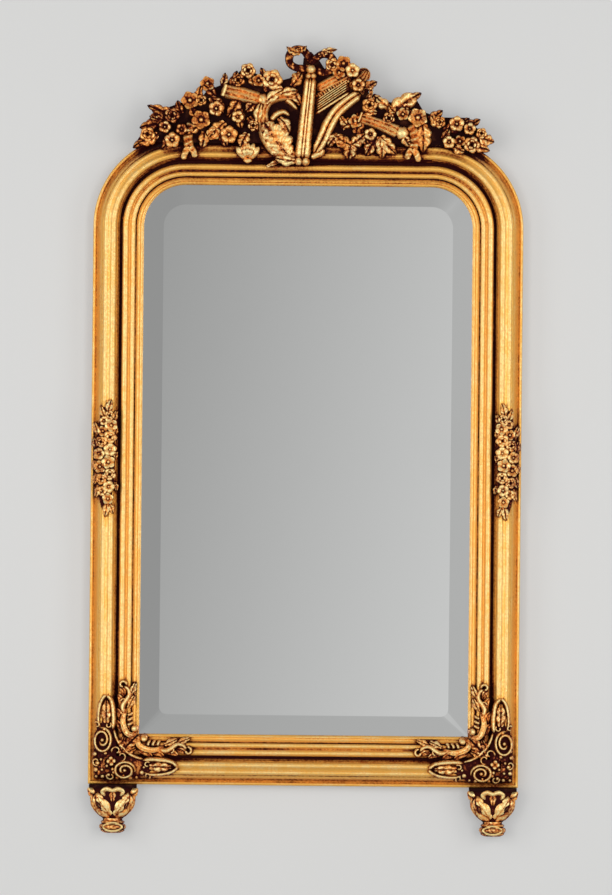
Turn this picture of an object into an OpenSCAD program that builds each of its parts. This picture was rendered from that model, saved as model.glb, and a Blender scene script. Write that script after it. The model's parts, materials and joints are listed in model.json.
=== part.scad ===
// Pier mirror with an arched-corner gilt frame, a carved trophy crest and two small feet.
//
// X runs to the right, Z up and Y towards the wall. The wall is the plane y = 0 and the front
// faces -Y, so a height above the wall, called v below, is -y. A distance in from the frame's
// outer edge is called u. The origin is the middle of the back panel's rear face.

/* [Frame] */
// Width of the moulded frame over its outer edges
frame_w = 800; // [720:10:900]
// Height of the moulded frame, without the crest and the feet
frame_h = 1210; // [1060:10:1400]
// Radius of the two top corners along the outer edge
corner_r = 172; // [160:1:185]
// Width of the outer moulding, from the outer edge to its joint with the liner
outer_w = 50; // [48:0.5:54]
// Width of the liner, from that joint to the sight edge
liner_w = 44; // [42:0.5:48]

/* [Moulding section] */
// Height of the outer moulding's crown rib above the wall
crown_h = 54; // [52:0.5:58]
// Height of the liner's outer rib above the wall
liner_h = 46; // [45:0.5:49]
// Height of the floor of the dark hollow between the two mouldings
hollow_h = 30; // [27:0.5:33]
// Height of the bead along the outer edge
edge_h = 25; // [23:0.5:28]
// Radius of the bead along the outer edge
edge_r = 3; // [2:0.25:3.5]
// Radius of the outer of the two ribs
rib_r = 5; // [4:0.25:5.5]
// Radius of the crown rib
crown_r = 6; // [5:0.25:6.5]
// Radius of the liner's outer rib
liner_rib_r = 6; // [5:0.25:6.5]
// Radius of the liner's inner rib
sight_rib_r = 4.5; // [3.5:0.25:5]
// Radius of the fine bead at the sight edge
sight_bead_r = 2.2; // [1.5:0.1:2.4]

/* [Joinery] */
// Width of the liner's flange, lapped behind the outer moulding
lap_w = 10; // [8:0.5:11]
// Thickness of that flange
lap_t = 10; // [8:0.5:12]
// Diameter of the dowels between the outer moulding's members
dowel_d = 8; // [6:0.5:9]
// Length of the dowels between the outer moulding's members
dowel_l = 50; // [36:1:60]
// Diameter of the dowels between the liner's members
liner_dowel_d = 6; // [4:0.5:7]
// Length of the dowels between the liner's members
liner_dowel_l = 30; // [20:1:40]
// Thickness of the splines across the two bottom mitres
spline_t = 4; // [3:0.5:5]
// Length of a spline across the mitre, and its width along it
spline_l = 28; // [20:1:32]
// Gap around a dowel or spline in its socket
joint_gap = 0.1; // [0.05:0.01:0.2]
// Gap between a carved ornament and the moulding that it is bedded on
bed_gap = 0.15; // [0.1:0.05:0.3]

/* [Mirror plate and back] */
// Thickness of the mirror plate
glass_t = 5; // [4:0.5:6]
// Height of the plate's front face above the wall
glass_v = 26; // [24:0.5:27]
// Width of the plate's edge that the sight lip covers
glass_cover = 8; // [6:0.5:10]
// Gap between the plate's edge and its rebate, filled by the setting pads
glass_gap = 1.5; // [1:0.25:2.5]
// Width of the bevel, measured from the plate's edge
bevel_w = 45; // [30:1:60]
// Depth that the bevel loses at the plate's edge
bevel_drop = 1.8; // [1:0.1:2.5]
// Radius of the bevel's inner corners at the plate's foot
bevel_corner_r = 14; // [8:1:24]
// Thickness of the back panel, whose rear face lies on the wall
back_t = 6; // [6:0.25:8]
// Margin of bare frame left around the back panel
back_margin = 30; // [29:0.5:32]
// Length of a glazing block
block_l = 60; // [40:1:80]
// Width of a glazing block
block_w = 12; // [8:0.5:16]
// Length of a setting pad under the plate's edge
pad_l = 40; // [25:1:60]

/* [Feet] */
// Distance from the frame's outer side to the middle of a foot
foot_in = 47; // [45:0.5:52]
// Distance from the wall to the middle of a foot
foot_v = 30; // [29:0.25:32]
// Thickness of the dark pad between the frame and a foot
foot_pad_t = 6; // [4:0.5:9]
// Height of the leaf-carved cup
cup_h = 57; // [45:1:70]
// Radius of the cup's curled lip
cup_r = 43; // [39:0.5:45]
// Radius of the cup's neck
neck_r = 21; // [19:0.5:23]
// Height of the bun
bun_h = 27; // [20:0.5:34]
// Radius of the bun
bun_r = 25; // [23:0.5:28]
// Diameter of the dowel through a foot
foot_dowel_d = 10; // [8:0.5:10]

/* [Crest] */
// Height above the wall at which the crest's ground board ends and its ornament starts
ground_v = 62; // [60:0.5:66]
// Thickness of the ground board above the frame
ground_t = 22; // [16:0.5:24]
// Height of the ornament's first layer above the ground board
relief_t = 14; // [10:0.5:18]
// Length of the block behind the crest
block_x = 300; // [240:5:330]
// Height of the block behind the crest
block_z = 50; // [40:1:60]
// Radius of the horn on the crest's left
horn_r = 13; // [10:0.5:14]
// Radius of the torch on the crest's right
torch_r = 10; // [8:0.5:12]
// Radius of each of the two pipes at its lower end
pipe_r = 7; // [6:0.25:8]

/* [Bedded ornament] */
// Height of the side sprays above the mouldings that they follow
spray_rise = 7; // [5:0.5:9]
// Height of the corner ornaments above the mouldings that they follow
corner_rise = 6.5; // [5:0.5:9]

/* [Hangers] */
// Height of the ring axes above the middle of the frame
hanger_z = 300; // [200:5:400]
// Distance from the frame's outer side to the middle of a hanger
hanger_in = 15; // [14.5:0.25:16]
// Width of the strap
strap_w = 16; // [12:0.5:18]
// Thickness of the strap
strap_t = 1.2; // [1:0.1:1.25]
// Length of the strap below the ring's axis
strap_l = 48; // [44:1:60]
// Diameter of the ring's wire
wire_d = 3; // [2.5:0.1:3]
// Radius of the ring's round end at the middle of the wire
ring_r = 12; // [11:0.25:12.5]
// Running clearance around the wire in the strap's eye
eye_gap = 0.05; // [0.02:0.01:0.1]

/* [Hidden] */
$fn = 48;

// Overlap of a cutting shape past the face that it cuts
cut = 1;
half_w = frame_w / 2;
half_h = frame_h / 2;
sight_u = outer_w + liner_w;
arc_x = half_w - corner_r;
arc_z = half_h - corner_r;
rebate_u = sight_u - glass_cover - glass_gap;
plate_u = sight_u - glass_cover;
// Radius that takes the sharpness off the bottom corners of the plate and the back panel
eased_r = 3;
crown_u = outer_w - crown_r - 6.5;
rib_quirk = 1.5;
rib_u = crown_u - crown_r - rib_r - rib_quirk;
lap_v = back_t + lap_t;
ring_v = back_t - strap_t - wire_d / 2 - 0.3;
eye_r = wire_d / 2 + eye_gap + 1.25;
gilt = "#d9a441";
gilt_dark = "#a86a22";
bole = "#4a1a0c";
pine = "#c8a674";
steel = "#8c8c88";

// ---------------------------------------------------------------- curves and outlines

// Points along an arc from angle a0 to a1
function arc(c, r, a0, a1, n = 8) =
    [for (i = [0:n]) c + r * [cos(a0 + (a1 - a0) * i / n), sin(a0 + (a1 - a0) * i / n)]];

// An S-shaped slope from p0 to p1
function ogee(p0, p1, n = 8) =
    [for (i = [0:n]) [p0.x + (p1.x - p0.x) * i / n,
                      p0.y + (p1.y - p0.y) * (i / n - sin(360 * i / n) / 11)]];

// A hollow quarter curve from p0, where it is steep, to p1, where it is flat
function cove(p0, p1, n = 6) =
    [for (i = [0:n]) [p1.x - (p1.x - p0.x) * cos(90 * i / n), p0.y + (p1.y - p0.y) * sin(90 * i / n)]];

// A spiral about c whose radius goes from r0 to r1 as its angle goes from a0 to a1
function spiral(c, r0, r1, a0, a1, n) =
    [for (i = [0:n]) let (t = i / n) c + (r0 + (r1 - r0) * t)
        * [cos(a0 + (a1 - a0) * t), sin(a0 + (a1 - a0) * t)]];

// Widths that taper evenly from w0 to w1 over n + 1 points
function taper(w0, w1, n) = [for (i = [0:n]) w0 + (w1 - w0) * i / n];

// The arched outline of the frame, set in by a margin, with its two bottom corners rounded
function arched(inset, foot_r) =
    let (x = half_w - inset - foot_r, z = inset + foot_r - half_h)
    concat(
        arc([-x, z], foot_r, 180, 270, 4),
        arc([x, z], foot_r, 270, 360, 4),
        arc([arc_x, arc_z], corner_r - inset, 0, 90, 24),
        arc([-arc_x, arc_z], corner_r - inset, 90, 180, 24));

// Section of the outer moulding: edge bead, ogee, two ribs, and the wall of the hollow
function outer_section() = concat(
    [[0, back_t]],
    arc([edge_r, edge_h - edge_r], edge_r, 180, 10),
    ogee([2 * edge_r + 0.6, edge_h - edge_r], [rib_u - rib_r - 0.5, crown_h - 8]),
    arc([rib_u, crown_h - 1.5 - rib_r], rib_r, 195, -20),
    arc([crown_u, crown_h - crown_r], crown_r, 200, -10),
    [[outer_w - 4.5, crown_h - 7.2], [outer_w - 3.5, crown_h - 9.5], [outer_w - 2, crown_h - 12]],
    [[outer_w, hollow_h], [outer_w, lap_v], [outer_w - lap_w, lap_v], [outer_w - lap_w, back_t]]);

// Section of the liner: flange, hollow, two ribs, cove, sight bead, and the plate's rebate
function liner_section() = concat(
    [[outer_w - lap_w, back_t], [outer_w - lap_w, lap_v], [outer_w, lap_v], [outer_w, hollow_h]],
    [[outer_w + 3.5, hollow_h]],
    arc([outer_w + 4.5 + liner_rib_r, liner_h - liner_rib_r], liner_rib_r, 200, -18),
    [[outer_w + 6 + 2 * liner_rib_r, liner_h - 8.5]],
    arc([sight_u - 15.5 - sight_rib_r, liner_h - 3 - sight_rib_r], sight_rib_r, 200, -20),
    [[sight_u - 14.7, liner_h - 10.5], [sight_u - 13.3, liner_h - 10.5]],
    cove([sight_u - 12.8, liner_h - 8], [sight_u - 1.4 - 2 * sight_bead_r, glass_v + 5]),
    arc([sight_u - 1.2 - sight_bead_r, glass_v + 5], sight_bead_r, 160, -10, 6),
    [[sight_u, glass_v + 4], [sight_u, glass_v], [rebate_u, glass_v], [rebate_u, back_t]]);

// ---------------------------------------------------------------- frame members

// A length of moulding that stands on z = 0 with its outer edge on x = 0
module moulding(points, length)
    linear_extrude(length)
        rotate(180)
            polygon(points);

// Everything on the outer side of the right-hand bottom mitre, or on its inner side
module mitre_waste(side) {
    reach = sight_u + 6;
    rotate([90, 0, 0])
        translate([half_w, -half_h, -cut])
            linear_extrude(crown_h + 2 * cut)
                polygon(side == "below"
                    ? [[cut, -cut], [-reach, reach], [-reach, -cut]]
                    : [[cut, -cut], [-reach, reach], [cut, reach]]);
}

module stile(points)
    difference() {
        translate([half_w, 0, -half_h])
            moulding(points, half_h + arc_z);
        mitre_waste("below");
    }

module top_rail(points)
    translate([arc_x, 0, half_h])
        rotate([0, -90, 0])
            moulding(points, 2 * arc_x);

module bottom_rail(points)
    difference() {
        mirror([0, 0, 1])
            translate([half_w, 0, half_h])
                rotate([0, -90, 0])
                    moulding(points, frame_w);
        mitre_waste("above");
        mirror([1, 0, 0])
            mitre_waste("above");
    }

module shoulder(points)
    translate([arc_x, 0, arc_z])
        rotate([90, 0, 0])
            rotate_extrude(angle = 90)
                translate([corner_r, 0])
                    mirror([1, 0])
                        polygon(points);

// Section of both mouldings as ornament is bedded on it: it bridges the quirks and the hollow
function bed_section() = concat(
    [[0, back_t], [0, edge_h], [2 * edge_r + 2.5, edge_h]],
    [[rib_u - rib_r - 4.5, crown_h - 12], [rib_u - rib_r, crown_h - 1.5 - rib_r / 2]],
    [[rib_u - rib_r / 2, crown_h - 1.5], [crown_u - crown_r / 2, crown_h], [crown_u + crown_r / 2, crown_h]],
    [[crown_u + crown_r + 1.5, crown_h - 6], [outer_w - 2, crown_h - 11]],
    [[outer_w + 4.5, liner_h - liner_rib_r / 2]],
    [[outer_w + 4.5 + liner_rib_r / 2, liner_h], [outer_w + 4.5 + liner_rib_r * 1.5, liner_h]],
    [[sight_u - 15.5 - sight_rib_r / 2, liner_h - 3], [sight_u - 12, liner_h - 7.5]],
    [[sight_u - 2.6, glass_v + 5.3 + sight_bead_r], [sight_u, glass_v + 5.3], [sight_u, back_t]]);

// Height of the mouldings at a point [in from the outer side, up from the bottom edge]
function bed_v(p) = lookup(min(p.x, p.y), [
    [0, edge_h], [2 * edge_r, edge_h + 3], [rib_u - rib_r, crown_h - 5], [crown_u, crown_h],
    [outer_w + liner_rib_r, liner_h], [sight_u - 15, liner_h - 4], [sight_u, glass_v + 5.3]]);

module bed_outline()
    offset(delta = bed_gap)
        polygon(bed_section());

// The right-hand stile and half the bottom rail, as the bed that ornament is cut to
module bed() {
    translate([half_w, 0, -half_h])
        linear_extrude(frame_h)
            rotate(180)
                bed_outline();
    mirror([0, 0, 1])
        translate([half_w, 0, half_h])
            rotate([0, -90, 0])
                linear_extrude(half_w)
                    rotate(180)
                        bed_outline();
}

// The top rail and both shoulders, as the bed that the crest is cut to
module top_bed()
    for (side = [0, 1])
        mirror([side, 0, 0]) {
            translate([arc_x, 0, half_h])
                rotate([0, -90, 0])
                    linear_extrude(arc_x + cut)
                        rotate(180)
                            bed_outline();
            translate([arc_x, 0, arc_z])
                rotate([90, 0, 0])
                    rotate_extrude(angle = 90, $fn = 96)
                        translate([corner_r, 0])
                            mirror([1, 0])
                                bed_outline();
        }

// Left and right copies are mirror images about the middle of the frame
module sided(side)
    mirror([side == "left" ? 1 : 0, 0, 0])
        children();

// ---------------------------------------------------------------- dowels, splines and screws

// Places of the outer dowels within the section, as [u, v]
outer_dowel_spots = [[16, back_t + 11], [30, 30]];
liner_dowel_spot = [outer_w + 14, back_t + 16];
splines_v = back_t + 3;

// A dowel across the joint at the right-hand stile's top, then one at the top rail's end
module dowel_pair(spot, d, l) {
    translate([half_w - spot.x, -spot.y, arc_z])
        cylinder(d = d, h = l, center = true);
    translate([arc_x, -spot.y, half_h - spot.x])
        rotate([0, 90, 0])
            cylinder(d = d, h = l, center = true);
}

module outer_dowel_set(gap = 0)
    for (side = [0, 1], spot = outer_dowel_spots)
        mirror([side, 0, 0])
            dowel_pair(spot, dowel_d + 2 * gap, dowel_l + 2 * gap);

module liner_dowel_set(gap = 0)
    for (side = [0, 1])
        mirror([side, 0, 0])
            dowel_pair(liner_dowel_spot, liner_dowel_d + 2 * gap, liner_dowel_l + 2 * gap);

// A square spline set on the diagonal of a bottom corner
module spline_set(gap = 0)
    for (side = [0, 1])
        mirror([side, 0, 0])
            translate([half_w - spline_l * 0.8, -splines_v + gap, -half_h + spline_l * 0.8])
                rotate([90, 45, 0])
                    translate([-spline_l / 2 - gap, -spline_l / 2 - gap, 0])
                        cube([spline_l + 2 * gap, spline_l + 2 * gap, spline_t + 2 * gap]);

// A countersunk wood screw driven towards -Y, with its head flush on y = 0
module wood_screw(d, l, gap = 0)
    rotate([90, 0, 0]) {
        cylinder(d = d + 2 * gap, h = l + gap);
        cylinder(d1 = 2 * d + 2 * gap, d2 = d + 2 * gap, h = d / 2 + gap);
    }

screw_d = 3.5;
board_screw_l = 18;
liner_screw_l = 26;
board_screw_u = back_margin + 5;
liner_screw_u = outer_w - lap_w / 2;

// Screw places along the four straight members, u in from the outer edge
function ring_of_spots(u, along_stile, along_rail) = concat(
    [for (s = [-1, 1], z = along_stile) [s * (half_w - u), z]],
    [for (s = [-1, 1], x = along_rail) [x, s * (half_h - u)]]);

board_spots = ring_of_spots(board_screw_u, [-arc_z, -arc_z / 3, arc_z / 3, arc_z * 0.95],
                            [-arc_x * 0.8, 0, arc_x * 0.8]);
liner_spots = ring_of_spots(liner_screw_u, [-arc_z * 0.85, 0, arc_z * 0.85],
                            [-arc_x * 0.5, arc_x * 0.5]);

// ---------------------------------------------------------------- carving

// Bedded carving follows the swell of the mouldings; other carving is level
$bedded = false;

// One dab of carving: a short boss with drafted sides. Its front, high, is measured from the
// wall, or from the mouldings where the carving is bedded.
module dab(p, r, low, high) {
    front = high + ($bedded ? bed_v(p) : 0);
    translate([p.x, -low, p.y])
        rotate([90, 0, 0])
            cylinder(h = front - low, r1 = r, r2 = r * 0.75, $fn = 6);
}

// A carved stem, scroll or ribbon: dabs blended one into the next along a path
module stroke(path, widths, low, high)
    for (i = [1:len(path) - 1])
        hull() {
            dab(path[i - 1], widths[i - 1], low, high);
            dab(path[i], widths[i], low, high);
        }

// A pointed leaf from root to tip, bowed sideways by bend and thinner towards its tip
module leaf(root, tip, width, low, high, bend = 0) {
    way = tip - root;
    side = [-way.y, way.x] / norm(way);
    path = [root, root + way * 0.4 + side * bend, tip];
    widths = width * [0.5, 1, 0.12];
    for (i = [1:2])
        hull() {
            dab(path[i - 1], widths[i - 1], low, high);
            dab(path[i], widths[i], low, high - i);
        }
}

// A small flower: five round petals, each one dab, about a raised eye
module floret(c, r, low, high) {
    for (i = [0:4])
        dab(c + r * 0.55 * [cos(72 * i + 18), sin(72 * i + 18)], r * 0.5, low, high);
    dab(c, r * 0.4, low, high + 2);
}

// A five-petalled flower with a raised eye
module flower(c, r, low, high) {
    for (i = [0:4])
        hull() {
            dab(c, r * 0.35, low, high - 1);
            dab(c + r * 0.6 * [cos(72 * i + 18), sin(72 * i + 18)], r * 0.46, low, high);
        }
    dab(c, r * 0.32, low, high + 2);
}

// ---------------------------------------------------------------- crest

// Crest points are [x, height above the frame's top edge]
front_v = ground_v + relief_t;
over_v = front_v + 10;
// Height inside the top moulding from which ornament that laps over it is cut
lapped_v = crown_h - 6;
tongue_v = crown_h + 0.3;
tongue_z = -17;

// Outline of the ground board, inside the ornament's outline
ground_outline = [
    [-312, tongue_z], [-310, 12], [-285, 40], [-240, 56], [-205, 62], [-190, 80], [-150, 96],
    [-122, 124], [-100, 112], [-66, 96], [-38, 104], [-14, 122], [-12, 142], [14, 142],
    [30, 118], [62, 136], [92, 114], [112, 74], [160, 58], [196, 70], [212, 44], [240, 34],
    [290, 34], [318, 8], [330, tongue_z]];

flower_spots_left = [[-119, 120, 17], [-136, 101, 14], [-204, 32, 18], [-153, 5, 17], [-302, -3, 16],
                     [-258, 38, 14], [-270, 16, 13], [-228, 62, 12], [-194, 90, 13]];
flower_spots_right = [[205, 36, 18], [280, 32, 14], [262, -6, 14], [284, 2, 13], [308, -8, 16],
                      [304, 22, 13], [134, 60, 13]];
flower_spots_top = [[60, 144, 16], [80, 130, 14], [98, 116, 13], [-62, 92, 13]];
// Leaves as [root, tip, width, bend]
leaf_spots_left = [
    [[-266, 28], [-300, 56], 14, 4], [[-246, 4], [-268, -22], 14, 3], [[-185, 44], [-158, 64], 14, 3],
    [[-166, 14], [-196, -4], 13, -3], [[-212, 34], [-236, 60], 9, 3], [[-190, 56], [-198, 92], 8, 2],
    [[-150, 46], [-124, 22], 13, 4], [[-284, 0], [-322, -20], 13, 3], [[-290, 16], [-316, 34], 13, -3],
    [[-226, 8], [-248, 26], 13, 4], [[-84, 92], [-70, 124], 14, 3], [[-128, 100], [-146, 74], 13, 3],
    [[-130, 8], [-158, -16], 13, 3], [[-112, 112], [-98, 132], 9, 3]];
leaf_spots_right = [
    [[146, 46], [208, 84], 21, 6], [[200, 24], [222, -12], 16, 4], [[236, 20], [264, 36], 13, 3],
    [[250, 12], [232, -16], 13, 3], [[290, 14], [338, -6], 14, 4], [[296, -12], [334, -20], 10, -2],
    [[116, 58], [150, 72], 13, -3], [[94, -2], [62, -14], 13, 3], [[94, -2], [86, -32], 13, 2],
    [[106, 10], [124, -14], 13, 3], [[141, 4], [141, -28], 16, 0], [[216, 44], [238, 52], 10, 3],
    [[160, 8], [168, -20], 10, 3]];

// The flat front of the ground board and the mouldings below it, cut away from ornament
module crest_seat() {
    translate([-half_w, -ground_v, half_h + tongue_z])
        cube([frame_w, ground_v, frame_h]);
    top_bed();
}

module on_crest()
    difference() {
        translate([0, 0, half_h])
            children();
        crest_seat();
    }

// Ornament that keeps to the ground board alone needs no cutting
module on_ground()
    translate([0, 0, half_h])
        children();

module crest_dowel_set(gap = 0)
    for (x = [-1, 0, 1] * block_x * 0.35)
        translate([x, -back_t - 7, half_h])
            cylinder(d = dowel_d + 2 * gap, h = dowel_l + 2 * gap, center = true);

module crest_screw_set()
    for (x = [-1.4, -0.5, 0.5, 1.4] * block_x * 0.3)
        translate([x, -back_t, half_h + block_z / 2])
            wood_screw(4, ground_v - ground_t - back_t + 12);

// ---------------------------------------------------------------- feet

foot_x = half_w - foot_in;
cup_top = -half_h - foot_pad_t;
neck_z = cup_top - cup_h;
foot_bottom = neck_z - bun_h;
// Depth of the oval cup, from front to back
foot_depth = 48;
foot_dowel_v = 17;

// Half outline of the cup as [radius, height above the neck]
cup_profile = concat(
    [[0, 0], [neck_r, 0]],
    [for (i = [1:8]) let (t = i / 8)
        [neck_r + (cup_r - 4 - neck_r) * sin(90 * t), cup_h * 0.62 * t]],
    [[cup_r - 4.5, cup_h * 0.8], [cup_r - 2.5, cup_h * 0.88], [cup_r, cup_h * 0.94], [cup_r - 1, cup_h]],
    [[0, cup_h]]);

// Half outline of the bun, with a flat foot and a short neck
bun_profile = concat(
    [[0, 0], [bun_r - bun_h * 0.4, 0]],
    arc([bun_r - bun_h * 0.4, bun_h * 0.44], bun_h * 0.4, -75, 75, 10),
    [[neck_r - 3, bun_h * 0.86], [neck_r - 3, bun_h], [0, bun_h]]);

module foot_dowel_set(gap = 0)
    for (side = [0, 1])
        mirror([side, 0, 0])
            translate([foot_x, -foot_dowel_v, foot_bottom + 8])
                cylinder(d = foot_dowel_d + 2 * gap, h = -half_h + 26 - foot_bottom - 8 + gap);

// ---------------------------------------------------------------- bedded ornament

// Height above the wall, inside the mouldings, from which bedded ornament is cut
deep_v = back_t + 8;
// A side spray's points are [in from the outer side, up from the middle of the frame]
spray_stem = [[27, 80], [30, 40], [25, 0], [30, -40], [27, -80]];
// Its flowers as [in, up, radius]
spray_flowers = [[33, 76, 9], [22, 58, 10], [35, 42, 10], [21, 24, 12], [34, 6, 13], [19, -10, 10],
                 [33, -26, 12], [22, -44, 10], [33, -60, 9], [27, -78, 8]];
// Its leaves as [root, tip, width, bend]
spray_leaves = [[[27, 78], [33, 104], 8, 3], [[21, 60], [9, 78], 8, 3], [[19, 26], [7, 40], 8, 3],
                [[17, -8], [7, -24], 8, -3], [[21, -46], [9, -62], 8, -3], [[35, 44], [47, 60], 8, -3],
                [[37, 4], [48, 18], 7, -3], [[35, -28], [47, -42], 8, 3], [[27, -80], [24, -106], 8, 3]];

module side_spray() {
    $bedded = true;
    middle = [0, half_h];
    difference() {
        translate([half_w, 0, -half_h])
            mirror([1, 0, 0]) {
                for (f = spray_flowers)
                    floret([f[0], f[1]] + middle, f[2], deep_v, spray_rise);
                for (l = spray_leaves)
                    leaf(l[0] + middle, l[1] + middle, l[2], deep_v, spray_rise - 1, l[3]);
                stroke([for (p = spray_stem) p + middle], [3, 4, 4, 4, 3], deep_v, spray_rise - 2);
            }
        bed();
    }
}

// Corner points are [in from the outer side, up from the bottom edge]
volute_at = [31, 75];
tip_at = [62, 183];
scroll_path = [[69, 179], [77, 168], [73, 150], [75, 136], [62, 122], [61, 104], [73, 92], [86, 95],
               [84, 105]];
scroll_widths = [4.5, 5, 5, 5.5, 6.5, 6.5, 6, 5, 6.5];
// Leaves as [root, tip, width, bend]
corner_leaves = [[[27, 96], [18, 128], 10, 3], [[31, 98], [42, 132], 10, -3], [[28, 104], [27, 168], 11, 3],
                 [[66, 66], [48, 108], 11, -4], [[70, 140], [76, 176], 6, -3], [[44, 44], [20, 52], 8, 2]];

module corner_half() {
    stroke(spiral(volute_at, 19, 4, -110, -560, 12), taper(5.5, 4, 12), deep_v, corner_rise);
    stroke(spiral(tip_at, 8, 3, -30, 330, 6), taper(3.5, 3, 6), deep_v, corner_rise);
    stroke(scroll_path, scroll_widths, deep_v, corner_rise);
    for (l = corner_leaves)
        leaf(l[0], l[1], l[2], deep_v, corner_rise, l[3]);
    stroke([[46, 92], [50, 178]], [6, 4], deep_v, 0.6);
}

module corner_ornament() {
    $bedded = true;
    difference() {
        translate([half_w, 0, -half_h])
            mirror([1, 0, 0]) {
                corner_half();
                mirror([1, 0, -1])
                    corner_half();
                flower([40, 40], 13, deep_v, corner_rise);
                leaf([68, 68], [91, 91], 10, deep_v, corner_rise);
            }
        bed();
    }
}

// ---------------------------------------------------------------- hangers

hanger_x = half_w - hanger_in;
strap_screw_z = [strap_l * 0.56, strap_l * 0.86];
bend_r = 2.5;
leg_l = 2.5;

module at_hanger()
    translate([hanger_x, 0, hanger_z])
        children();

module hanger_strap()
    at_hanger()
        difference() {
            union() {
                translate([-strap_w / 2, -back_t, -strap_l])
                    cube([strap_w, strap_t, strap_l + 1.5]);
                translate([0, -ring_v, 0])
                    rotate([0, 90, 0])
                        cylinder(r = eye_r, h = strap_w - 2, center = true);
            }
            translate([0, -ring_v, 0])
                rotate([0, 90, 0])
                    cylinder(r = wire_d / 2 + eye_gap, h = strap_w, center = true);
            for (z = strap_screw_z)
                translate([0, -back_t + strap_t + cut, -z])
                    rotate([90, 0, 0])
                        cylinder(d = screw_d + 0.2, h = strap_t + 2 * cut);
        }

// A quarter of the wire's bend, or its half-round end
module wire_arc(r, angle)
    rotate([90, 0, 0])
        rotate_extrude(angle = angle)
            translate([r, 0])
                circle(d = wire_d);

module hanger_ring() {
    flat = ring_r - bend_r;
    end_z = -bend_r - leg_l;
    at_hanger()
        translate([0, -ring_v, 0]) {
            rotate([0, 90, 0])
                cylinder(d = wire_d, h = 2 * flat, center = true);
            for (side = [0, 1])
                mirror([side, 0, 0]) {
                    translate([flat, 0, -bend_r])
                        wire_arc(bend_r, 90);
                    translate([ring_r, 0, end_z])
                        cylinder(d = wire_d, h = leg_l);
                }
            translate([0, 0, end_z])
                mirror([0, 0, 1])
                    wire_arc(ring_r, 180);
        }
}

// ---------------------------------------------------------------- sub-parts

module outer_stile(side)
    color(gilt)
        difference() {
            sided(side)
                stile(outer_section());
            outer_dowel_set(joint_gap);
            spline_set(joint_gap);
        }

module outer_top_rail()
    color(gilt)
        difference() {
            top_rail(outer_section());
            outer_dowel_set(joint_gap);
            crest_dowel_set(joint_gap);
        }

module outer_bottom_rail()
    color(gilt)
        difference() {
            bottom_rail(outer_section());
            spline_set(joint_gap);
            foot_dowel_set(joint_gap);
        }

module outer_shoulder(side)
    color(gilt)
        difference() {
            sided(side)
                shoulder(outer_section());
            outer_dowel_set(joint_gap);
        }

module liner_stile(side)
    color(gilt)
        difference() {
            sided(side)
                stile(liner_section());
            liner_dowel_set(joint_gap);
        }

module liner_top_rail()
    color(gilt)
        difference() {
            top_rail(liner_section());
            liner_dowel_set(joint_gap);
        }

module liner_bottom_rail()
    color(gilt)
        bottom_rail(liner_section());

module liner_shoulder(side)
    color(gilt)
        difference() {
            sided(side)
                shoulder(liner_section());
            liner_dowel_set(joint_gap);
        }

module outer_dowels()
    color(pine)
        outer_dowel_set();

module liner_dowels()
    color(pine)
        liner_dowel_set();

module mitre_splines()
    color(pine)
        spline_set();

module liner_screws()
    color(steel)
        for (p = liner_spots)
            translate([p.x, -back_t, p.y])
                wood_screw(screw_d, liner_screw_l);

// Silvered plate, arched like the frame, with a bevel ground along its whole edge
module mirror_plate()
    color("silver")
        translate([0, glass_t - glass_v, 0])
            rotate([90, 0, 0])
                hull() {
                    linear_extrude(glass_t - bevel_drop)
                        polygon(arched(plate_u, eased_r));
                    linear_extrude(glass_t)
                        polygon(arched(plate_u + bevel_w, bevel_corner_r));
                }

// Cork pads that hold the plate clear of its rebate
module setting_pads() {
    x = half_w - plate_u;
    z = half_h - plate_u;
    color("tan")
        translate([0, glass_t - glass_v - glass_t, 0]) {
            for (s = [-1, 1])
                translate([s * x * 0.6 - pad_l / 2, 0, -z - glass_gap])
                    cube([pad_l, glass_t - bevel_drop, glass_gap]);
            for (side = [0, 1], s = [-1, 1])
                mirror([side, 0, 0])
                    translate([x, 0, s * z * 0.6 - pad_l / 2])
                        cube([glass_gap, glass_t - bevel_drop, pad_l]);
        }
}

// Softwood blocks glued into the rebate behind the plate
module glazing_blocks() {
    x = half_w - rebate_u;
    z = half_h - rebate_u;
    deep = glass_v - glass_t - back_t - 0.5;
    color(pine)
        translate([0, glass_t - glass_v, 0]) {
            for (side = [0, 1], s = [-0.75, -0.25, 0.25, 0.75])
                mirror([side, 0, 0])
                    translate([x - block_w, 0, s * z - block_l / 2])
                        cube([block_w, deep, block_l]);
            for (side = [0, 1], s = [-0.55, 0, 0.55])
                mirror([0, 0, side])
                    translate([s * x - block_l / 2, 0, z - block_w])
                        cube([block_l, deep, block_w]);
        }
}

module backboard()
    color(pine)
        difference() {
            rotate([90, 0, 0])
                linear_extrude(back_t)
                    polygon(arched(back_margin, eased_r));
            for (p = board_spots)
                translate([p.x, 0, p.y])
                    wood_screw(screw_d, back_t + cut, 0.1);
        }

module backboard_screws()
    color(steel)
        for (p = board_spots)
            translate([p.x, 0, p.y])
                wood_screw(screw_d, board_screw_l);

module foot_pad(side)
    color(bole)
        difference() {
            sided(side)
                translate([foot_x - foot_in + 3, -foot_v - foot_depth / 2 + 1, cup_top])
                    cube([2 * foot_in - 6, foot_depth - 2, foot_pad_t]);
            foot_dowel_set(joint_gap);
        }

module foot_cup(side)
    color(gilt)
        difference() {
            sided(side)
                translate([foot_x, -foot_v, neck_z])
                    scale([1, foot_depth / (2 * cup_r), 1])
                        rotate_extrude()
                            polygon(cup_profile);
            foot_dowel_set(joint_gap);
        }

module foot_bun(side)
    color(gilt)
        difference() {
            sided(side)
                translate([foot_x, -foot_v, foot_bottom])
                    rotate_extrude()
                        polygon(bun_profile);
            foot_dowel_set(joint_gap);
        }

module foot_dowels()
    color(pine)
        foot_dowel_set();

module crest_block()
    color(pine)
        difference() {
            translate([-block_x / 2, ground_t - ground_v, half_h])
                cube([block_x, ground_v - ground_t - back_t, block_z]);
            crest_dowel_set(joint_gap);
        }

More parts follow.
